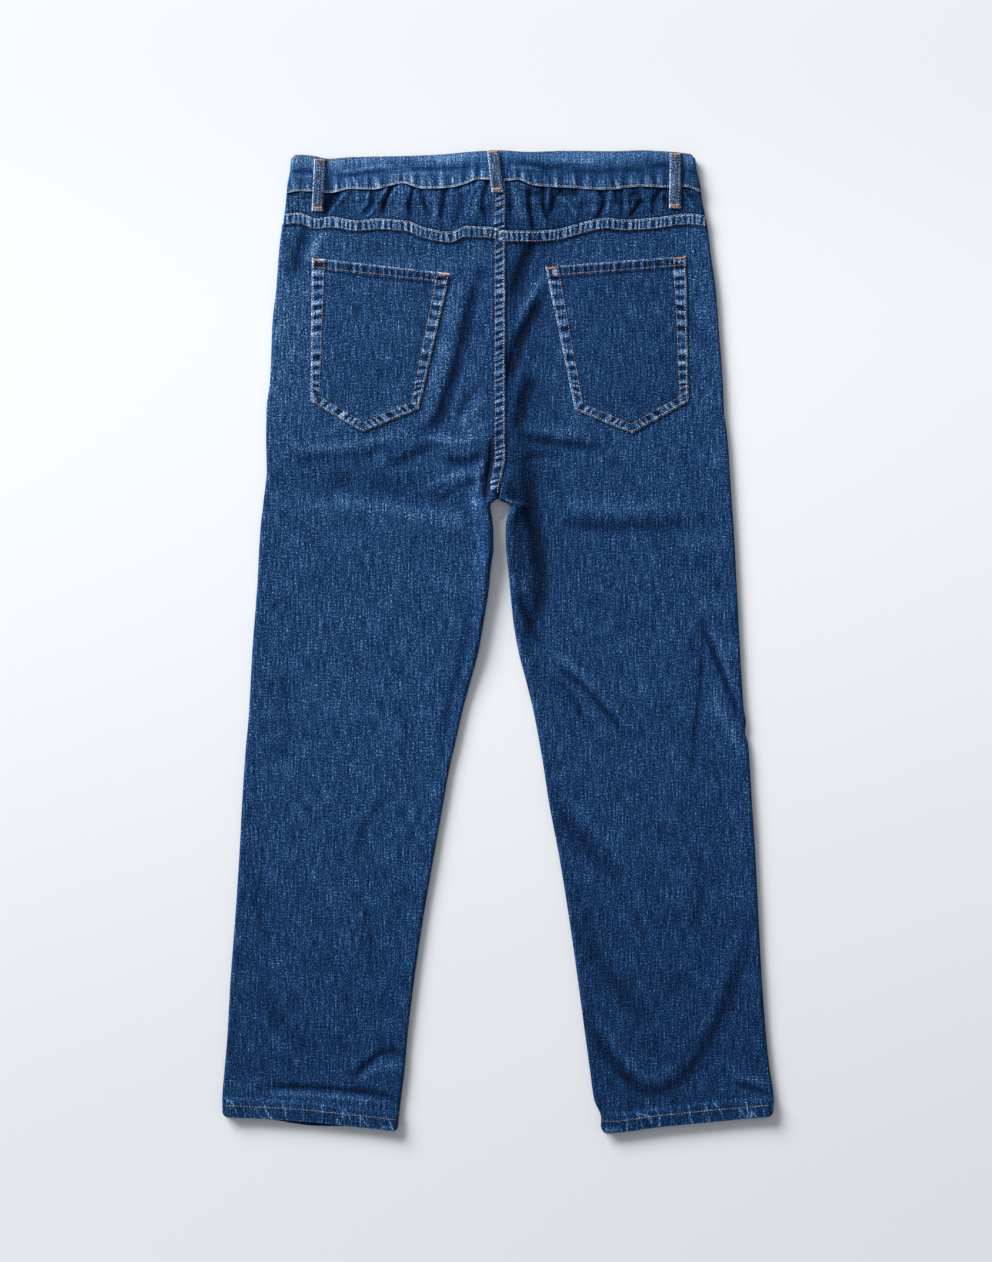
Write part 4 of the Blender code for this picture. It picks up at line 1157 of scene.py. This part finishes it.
def pocket(name, corners):
    side = -1 if "left" in name else 1
    outer_top, inner_top, inner_low, tip, outer_low = corners
    u = np.concatenate([[0, 0.004, 0.01], np.linspace(0.022, 0.978, 70), [0.99, 0.996, 1.0]])
    v = np.concatenate([[0, 0.003, 0.007], np.linspace(0.016, 0.985, 88), [0.993, 0.997, 1.0]])
    u, v = np.meshgrid(u, v)
    top = outer_top + (inner_top - outer_top) * u[..., None]
    first = outer_low + (tip - outer_low) * np.clip(u * 2, 0, 1)[..., None]
    low = first + (inner_low - tip) * np.clip(u * 2 - 1, 0, 1)[..., None]
    places = top + (low - top) * v[..., None]
    x, drop = places[..., 0], places[..., 1]

    def inside(a, b):
        run = unit(b - a)
        return abs((x - a[0]) * run[1] - (drop - a[1]) * run[0])

    from_top = inside(outer_top, inner_top)
    from_rest = np.minimum.reduce([inside(outer_top, outer_low), inside(inner_top, inner_low),
                                   inside(outer_low, tip), inside(tip, inner_low)])
    floor, creases = leg_face(side, x, drop)
    belly = 0.9 * ease(from_rest / 34) * ease((from_top - 4) / 30)
    quilt = 0.25 * np.cos(2 * np.pi * (x * 0.3 + drop) / 10.5) * ease((13 - from_rest) / 3)
    edge = np.minimum(from_rest, from_top)
    rounding = 0.55 * np.clip(1 - edge / 1.1, 0, 1) ** 2
    taper = mix(0.82, 1.25, np.clip(v, 0, 1))
    turned = 0.8 * ease((POCKET_HEM + STEP - from_top) / STEP)
    turned = turned + 0.35 * ease((12.6 - from_rest * taper) / 1.5)
    quilt = quilt * ease(edge / 2)
    face = floor + 0.42 + DENIM + turned + belly + quilt - rounding
    marks = {"pocket_edge": from_rest * taper, "pocket_top": from_top,
             "pocket_run": drop - abs(x - tip[0]) * ease((drop - 238) / 28),
             "crease": np.clip(creases * 0.5 + quilt * 1.4, -1.2, 1.0),
             # Painted light: the right pocket is darker than the left one; the paler edges are wear.
             "fade": 0.15 * bell(edge, 12) + (-0.4 if side > 0 else 0)}
    return cloth(name, x, drop, face, 1.4, marks, (POCKET_DENIM, REVERSE)), (x, drop, face)


# %% Belt loops


def back_surface(x, drop):
    """Height of what a belt loop lies on."""
    x, drop = np.asarray(x, float), np.asarray(drop, float)
    height = np.zeros(np.broadcast(x, drop).shape)
    for side in (-1, 1):
        here = x < inner_x(-1, drop) if side < 0 else x >= inner_x(-1, drop)
        on_band = band_face(side, x, drop)[0]
        on_yoke = yoke_face(side, x, drop)[0]
        on_leg = leg_face(side, x, drop)[0]
        stack = np.where(drop < line(BAND_SEAM, x), on_band,
                         np.where(drop < line(YOKE_EDGE, x), on_yoke, on_leg))
        height = np.where(here, stack, height)
    return height


def loop_face(top, end):
    """Height of the strap's middle along it: it bridges the steps below it."""
    t = np.linspace(0, 1, 61)
    x, drop = mix(top[0], end[0], t), mix(top[1], end[1], t)
    reach = np.linspace(-LOOP_HALF_WIDTH, LOOP_HALF_WIDTH, 9)
    under = back_surface(x[:, None] + reach, drop[:, None] + 0 * reach).max(1)
    wide = np.array([under[max(0, i - 5):i + 6].max() for i in range(len(t))])
    soft = np.convolve(np.pad(wide, 5, mode="edge"), np.ones(11) / 11, "valid")
    return t, soft + 0.25 + LOOP_WALL + 0.5 * np.sin(math.pi * t)


def back_loop(name, top, end):
    t, heights = loop_face(top, end)
    rows = np.concatenate([[0, 0.008, 0.02], np.linspace(0.04, 0.96, 46), [0.98, 0.992, 1.0]])
    u = np.concatenate([[-1, -0.97, -0.9], np.linspace(-0.8, 0.8, 17), [0.9, 0.97, 1.0]])
    u, v = np.meshgrid(u, rows)
    length = math.dist(top, end)
    x = mix(top[0], end[0], v) + u * LOOP_HALF_WIDTH
    drop = mix(top[1], end[1], v)
    from_edge = (1 - abs(u)) * LOOP_HALF_WIDTH
    from_end = np.minimum(v, 1 - v) * length
    rounding = 0.9 * np.clip(1 - from_edge / 1.2, 0, 1) ** 2
    rounding = rounding + 0.8 * np.clip(1 - from_end / 1.0, 0, 1) ** 2
    crown = 0.22 * bell(u, 0.42)
    z = np.interp(v, t, heights) + crown - rounding
    marks = loop_marks(u, v, length, 0.2 * unevenness(x, drop, 14, 3))
    return cloth(name, x, drop, z, 1.7, marks, (LOOP_DENIM, LOOP_DENIM))


def loop_marks(u, v, length, wear_and_shade):
    return {"left_edge": (1 + u) * LOOP_HALF_WIDTH, "right_edge": (1 - u) * LOOP_HALF_WIDTH,
            "end": (1 - v) * length, "crease": wear_and_shade, "fade": 0 * u}


def front_loop(side, name):
    x0 = 95.0 * side
    top = front_top_drop(x0) + 1
    u, v = np.meshgrid(np.linspace(-1, 1, 15), np.linspace(0, 1, 30))
    x, drop = x0 + u * LOOP_HALF_WIDTH, top + 55 * v
    z = 0.35 * np.clip(1 - (1 - abs(u)) * LOOP_HALF_WIDTH / 1.0, 0, 1) ** 2
    return cloth(name, x, drop, z, -1.7, loop_marks(u, v, 55, 0 * u), (LOOP_DENIM, LOOP_DENIM))


# %% Make every cloth piece and let it stand for its solid
PIECES = {}
for side, word in ((-1, "left"), (1, "right")):
    for start, make in (("back_", back_leg), ("yoke_", yoke), ("front_", front_leg),
                        ("waistband_front_", front_band), ("loop_front_", front_loop)):
        PIECES[start + word] = make(side, "cloth_" + start + word)
PIECES["waistband_back"] = back_band("cloth_waistband_back")
SURFACES = {}
for node, corners in POCKETS.items():
    PIECES[node], SURFACES[node] = pocket("cloth_" + node, corners)
for node, (top, end) in BACK_LOOPS.items():
    PIECES[node] = back_loop("cloth_" + node, top, end)
for node, piece in PIECES.items():
    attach(piece, "root")
    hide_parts(node)
    "denim_worn" if "loop" in node else "denim"

# %% [markdown]
# ## Stitches
#
# A row of lockstitch is many short threads, each a small lozenge that lies on the cloth. One
# stitch is made by an operator and then repeated along each seam as an array, so a whole
# garment's sewing is one joined mesh.

# %% Sew
STITCH_PITCH = 3.0
STITCH_LENGTH = 2.1
THREAD_HALF = 0.31


def one_stitch():
    shape = bmesh.new()
    bmesh.ops.create_uvsphere(shape, u_segments=6, v_segments=4, radius=1.0)
    bmesh.ops.triangulate(shape, faces=shape.faces)
    points = np.array([v.co[:] for v in shape.verts])
    faces = np.array([[v.index for v in f.verts] for f in shape.faces])
    shape.free()
    return points[:, [2, 1, 0]], faces[:, ::-1]


STITCH_POINTS, STITCH_FACES = one_stitch()


def along_path(points, pitch):
    """Places at an even pitch along a path of (x, drop) points, with their directions."""
    points = np.array(points, float)
    total = np.append(0, np.cumsum(np.linalg.norm(np.diff(points, axis=0), axis=1)))
    places = np.arange(pitch / 2, total[-1], pitch)

    def point(at):
        return np.stack([np.interp(at, total, column) for column in points.T], -1)

    return point(places), unit(point(places + 0.5) - point(places - 0.5))


class Sewing:
    """Collects stitches and joins them into one mesh."""

    def __init__(self, seed):
        self.stitches, self.draw = [], np.random.default_rng(seed)

    def row(self, points, height, length=STITCH_LENGTH, half=THREAD_HALF, pitch=STITCH_PITCH,
            crosswise=False, lift=0.10, tones=(0.0, 0.55)):
        """A row of stitches on a surface whose height is height(x, drop)."""
        places, directions = along_path(points, pitch)
        if crosswise:
            directions = directions[:, ::-1] * [1, -1]
        reach = directions * length * 0.4
        low = height(*(places - reach).T)
        high = height(*(places + reach).T)
        middle = height(*places.T)
        slope = np.clip((high - low) / (0.8 * length), -0.8, 0.8)
        for place, direction, z, rise in zip(places, directions, middle, slope):
            wobble = self.draw.normal(0, 0.07, 2)
            size = length * self.draw.uniform(0.88, 1.06)
            self.stitches.append((*(place + wobble), z + lift, *direction, rise, size, half,
                                  self.draw.uniform(*tones)))

    def join(self, name, material):
        s = np.array(self.stitches)
        centres = s[:, None, :3] * [1, -1, 1] + [0, MID_DROP, 0]
        run = unit(s[:, 3:6] * [1, -1, 1])
        across = unit(np.stack([-run[:, 1], run[:, 0], 0 * run[:, 0]], -1))
        turns = np.stack([run, across, np.cross(run, across)], 1)
        sizes = s[:, None, 6:7] * [0.5, 0, 0] + s[:, None, 7:8] * [0, 1, 0.8]
        points = centres + (STITCH_POINTS * sizes) @ turns
        count, corners = len(s), len(STITCH_POINTS)
        faces = STITCH_FACES[None] + (np.arange(count) * corners)[:, None, None]
        joined = bpy.data.meshes.new(name)
        joined.from_pydata((points.reshape(-1, 3) * MM).tolist(), [], faces.reshape(-1, 3).tolist())
        shape = bmesh.new()
        shape.from_mesh(joined)
        bpy.data.meshes.remove(joined)
        bmesh.ops.recalc_face_normals(shape, faces=shape.faces)
        thing = add_object(name, shape, material)
        mesh = thing.data
        tone = mesh.attributes.new("tone", "FLOAT", "POINT")
        tone.data.foreach_set("value", np.repeat(s[:, 8], corners).astype(np.float32))
        mesh.shade_smooth()
        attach(thing, "root")
        print(f"{name}: {count} stitches, {len(mesh.polygons)} faces")


def on(face, side):
    return lambda x, drop: face(side, np.asarray(x, float), np.asarray(drop, float))[0]


def crossing(curve, offset, start, end):
    """Points that run beside a crosswise line, offset down from it."""
    xs = np.arange(start, end, 2.0)
    return np.stack([xs, line(curve, xs) + offset], -1)


PLAIN, PALE = (0.0, 0.6), (0.4, 1.0)
SEAT_X = float(inner_x(-1, 80.0))
sewing = Sewing(17)
for side in (-1, 1):
    top_face, leg = on(band_face, side), on(leg_face, side)
    start, end = (-219, SEAT_X) if side < 0 else (SEAT_X, 212)
    sewing.row(crossing(BAND_SEAM, -2.1, start, end), top_face, tones=PALE)
    start, end = (-214, SEAT_X) if side < 0 else (SEAT_X, 204)
    sewing.row(crossing(WAIST_EDGE, 1.3, start, end), top_face, half=0.28)
    start, end = (-221, SEAT_X) if side < 0 else (SEAT_X, 216)
    sewing.row(crossing(YOKE_EDGE, 2.1, start, end), leg, tones=PALE)
    sewing.row(crossing(YOKE_EDGE, 10.4, start, end), leg)
for side, start, end in ((-1, -286, -104), (1, 109, 286)):
    sewing.row(crossing(HEM_EDGE, -12.2, start, end), on(leg_face, side))
for inset in (1.9, 10.2):
    upper = [(7.7 - inset, drop) for drop in np.arange(46, 82, 3.0)]
    sewing.row(upper, on(yoke_face, -1))
    drops = np.arange(90, 366, 3.0)
    xs = inner_x(-1, drops) - inset * (1 - 0.3 * inner_turn(drops))
    sewing.row(np.stack([xs, drops], -1), on(leg_face, -1), tones=PALE if inset < 5 else PLAIN)
sewing.join("stitches_seams", THREAD)

# %% Pocket stitches, loops and bartacks
pocket_sewing = Sewing(29)
tacks = Sewing(31)


def pocket_height(node):
    """Reads a pocket's height near a place from its own points."""
    x, drop, face = (a.ravel() for a in SURFACES[node])

    def height(px, pd):
        px, pd = np.atleast_1d(px), np.atleast_1d(pd)
        found = [face[np.argmin((x - a) ** 2 + (drop - b) ** 2)] for a, b in zip(px, pd)]
        return np.array(found)

    return height


def inset_corners(corners, depth):
    """The pocket's outline moved in, open at the top."""
    path = corners[[0, 4, 3, 2, 1]]
    normals = unit(np.diff(path, axis=0))[:, ::-1] * [-1, 1]
    inwards = np.sum(normals * (path.mean(0) - path[:-1]), 1, keepdims=True)
    normals = normals * np.sign(inwards)
    before, after = normals[[0, 0, 1, 2, 3]], normals[[0, 1, 2, 3, 3]]
    half = unit(before + after)
    return path + half * depth / np.sum(half * before, 1, keepdims=True)


for node, corners in POCKETS.items():
    height = pocket_height(node)
    outer_top, inner_top = corners[:2]
    run = unit(inner_top - outer_top)
    down = np.array([-run[1], run[0]]) * (1 if run[0] > 0 else -1)
    for depth, widened, tones in ((1.9, 0.0, PALE), (8.8, 4.2, PLAIN)):
        path = inset_corners(corners, depth)
        path[0] += run * widened
        path[-1] -= run * widened
        dense = np.concatenate([np.linspace(a, b, 40) for a, b in zip(path, path[1:])])
        pocket_sewing.row(dense, height, tones=tones)
    for depth in (1.8, 9.2):
        ends = [outer_top + run * 2 + down * depth, inner_top - run * 2 + down * depth]
        pocket_sewing.row(ends, height)
    for corner, inwards in ((outer_top, run), (inner_top, -run)):
        start = corner + inwards * 1.2 + down * 1.9
        tacks.row([start, start + inwards * 9.5], height, length=2.0, half=0.42, pitch=0.62,
                  crosswise=True, lift=0.3, tones=(0.0, 1.0))

for node, (top, end) in BACK_LOOPS.items():
    t, heights = loop_face(top, end)
    run = unit(end - top)
    beside = np.array([run[1], -run[0]])

    def strap(x, drop, top=top, end=end, t=t, heights=heights):
        share = (np.asarray(drop) - top[1]) / (end[1] - top[1])
        return np.interp(share, t, heights)

    for away in (-3.6, 3.6):
        ends = [top + run * 2.5 + beside * away, end - run * 3.5 + beside * away]
        pocket_sewing.row(ends, strap, half=0.33)
    for place, size in ((end - run * 3.4, 2.3), (top + run * 1.6, 1.8)):
        tacks.row([place - beside * 4.6, place + beside * 4.6], strap, length=size, half=0.45,
                  pitch=0.6, crosswise=True, lift=0.3, tones=(0.0, 1.0))
pocket_sewing.join("stitches_pockets_and_loops", THREAD)
tacks.join("bartacks", BARTACK)

# %% [markdown]
# ## Zip and button
#
# They lie between the layers and under the band. The solids have the right shape, so they
# stay and get proper finishes. The zip's teeth are small blocks, repeated along the chain.

# %% Metal and tape
brass = Finish("brass_aged", roughness=0.38, metallic=1.0)
patina = brass.node("ShaderNodeTexNoise", {}, {"Scale": 900.0, "Detail": 3.0})
brass_stops = ((0.3, (0.26, 0.17, 0.075)), (0.7, (0.62, 0.45, 0.22)))
brass.feed(brass.shader.inputs["Base Color"],
           brass.node("ShaderNodeValToRGB", {"stops": brass_stops}, {"Fac": patina}))
tape = Finish("zip_tape_woven")
weave = tape.node("ShaderNodeTexNoise", {}, {"Scale": 1500.0, "Detail": 2.0})
tape_stops = ((0.3, linear(12, 20, 40)), (0.7, linear(34, 48, 80)))
tape.feed(tape.shader.inputs["Base Color"],
          tape.node("ShaderNodeValToRGB", {"stops": tape_stops}, {"Fac": weave}))
for node, finish in (("band_button", brass), ("fly_zip", tape)):
    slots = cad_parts[node].data.materials
    slots.clear()
    slots.append(finish.material)

TEETH_START, TEETH_END, TOOTH_PITCH = 74.0, 203.0, 2.0
teeth = bmesh.new()
for i, drop in enumerate(np.arange(TEETH_START, TEETH_END, TOOTH_PITCH)):
    base = front_lift(0.0, drop) + 3.0
    made = bmesh.ops.create_cube(teeth, size=1.0)["verts"]
    bmesh.ops.scale(teeth, verts=made, vec=(0.0042, 0.0012, 0.0006))
    shift = 0.0006 if i % 2 else -0.0006
    bmesh.ops.translate(teeth, verts=made, vec=(shift, (MID_DROP - drop) * MM, (base + 0.2) * MM))
zip_teeth = add_object("zip_teeth", teeth, brass.material)
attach(zip_teeth, "root")

# %% [markdown]
# ## Cut sizes of the cloth
#
# Each panel is a sheet that was cut flat. Its cut is the panel that shows, with the turned
# allowances of its hems and folds counted in the size.

# %% Cut sizes: width and length in metres, and how much of that rectangle the shape fills
CUTS = {
    "back_left": (0.262, 0.985, 0.80), "back_right": (0.256, 0.985, 0.80),
    "yoke_left": (0.262, 0.052, 0.81), "yoke_right": (0.250, 0.052, 0.81),
    "pocket_left": (0.160, 0.196, 0.84), "pocket_right": (0.160, 0.200, 0.84),
    "waistband_back": (0.500, 0.040, 1.0),
    "waistband_front_left": (0.250, 0.048, 0.95), "waistband_front_right": (0.242, 0.048, 0.95),
    "front_left": (0.262, 1.010, 0.82), "front_right": (0.256, 1.010, 0.82),
    "loop_back_left": (0.016, 0.060, 1.0), "loop_back_centre": (0.016, 0.049, 1.0),
    "loop_back_right": (0.016, 0.063, 1.0),
    "loop_front_left": (0.016, 0.060, 1.0), "loop_front_right": (0.016, 0.060, 1.0),
}
RESTS = {
    "back_left": "front_left", "back_right": "front_right", "yoke_left": "front_left",
    "yoke_right": "front_right", "pocket_left": "back_left", "pocket_right": "back_right",
    "waistband_back": "waistband_front_left", "loop_back_left": "waistband_back",
    "loop_back_centre": "waistband_back", "loop_back_right": "waistband_back",
    "waistband_front_left": "loop_front_left", "waistband_front_right": "loop_front_right",
}
for node, (width, length, filled) in CUTS.items():
    rests_on = [RESTS[node]] if node in RESTS else []
    held = "gathered" if node in ("waistband_back", "yoke_left", "yoke_right") else "laid"

# %% [markdown]
# ## Floor, light and camera
#
# A pale, faintly blue floor, with painted shade that darkens it towards the bottom and the
# far top, a large soft light low above the waist end and a little to the left, and an even
# sky. The camera looks straight down, as in the picture.

# %% Stage
scene = bpy.context.scene
FLOOR_DROP = 0.0004
paper = Finish("floor_pale", roughness=0.9, specular=0.05)
place = paper.node("ShaderNodeTexCoord", output="Object")
split = paper.node("ShaderNodeSeparateXYZ", {}, {0: place}, output="Y")
# Painted shade: the floor's colour darkens towards the bottom and towards the far top, standing in
# for the fall-off of the light.
shade = split.step(0.25, -0.62) * 0.5 + split.step(0.30, 0.66) * 0.35
floor_stops = ((0.0, (0.865, 0.885, 0.91)), (1.0, (0.67, 0.685, 0.71)))
paper.feed(paper.shader.inputs["Base Color"],
           paper.node("ShaderNodeValToRGB", {"stops": floor_stops}, {"Fac": shade}))
floor_shape = bmesh.new()
bmesh.ops.create_grid(floor_shape, x_segments=1, y_segments=1, size=6.0)
bmesh.ops.translate(floor_shape, verts=floor_shape.verts, vec=(0, 0, -FLOOR_DROP))
add_object("floor", floor_shape, paper.material)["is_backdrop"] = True

sky = bpy.data.worlds.new("studio")
sky.use_nodes = True
sky_inputs = sky.node_tree.nodes["Background"].inputs
sky_inputs["Color"].default_value = (0.93, 0.965, 1.0, 1.0)
sky_inputs["Strength"].default_value = 0.35
scene.world = sky

# a soft lamp low above the waist end, its azimuth counted from there to the left
KEY_AZIMUTH, KEY_HEIGHT, KEY_DISTANCE = math.radians(42), math.radians(22), 11.0
lamp = bpy.data.lights.new("key", "AREA")
lamp.shape = "RECTANGLE"
lamp.size, lamp.size_y = 7.0, 4.0
lamp.energy = 2440
key = bpy.data.objects.new("key", lamp)
low = KEY_DISTANCE * math.cos(KEY_HEIGHT)
key.location = (-low * math.sin(KEY_AZIMUTH), low * math.cos(KEY_AZIMUTH),
                KEY_DISTANCE * math.sin(KEY_HEIGHT))
key.rotation_euler = (-key.location).to_track_quat("-Z", "Y").to_euler()
scene.collection.objects.link(key)

camera_data = bpy.data.cameras.new("camera")
camera_data.lens = 85.0
camera_data.sensor_width = 36.0
camera = bpy.data.objects.new("camera", camera_data)
FRAME_HEIGHT = 1.3251
CAMERA_DISTANCE = camera_data.lens / camera_data.sensor_width * FRAME_HEIGHT
camera.location = (-0.0021, 0.01105, CAMERA_DISTANCE + 0.006)
scene.collection.objects.link(camera)
scene.camera = camera
scene.view_settings.view_transform = "Standard"

# %% Sizes, and the end
total = sum(len(o.data.loops) - 2 * len(o.data.polygons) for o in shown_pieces() if o.type == "MESH")
print("triangles before the walls:", total)
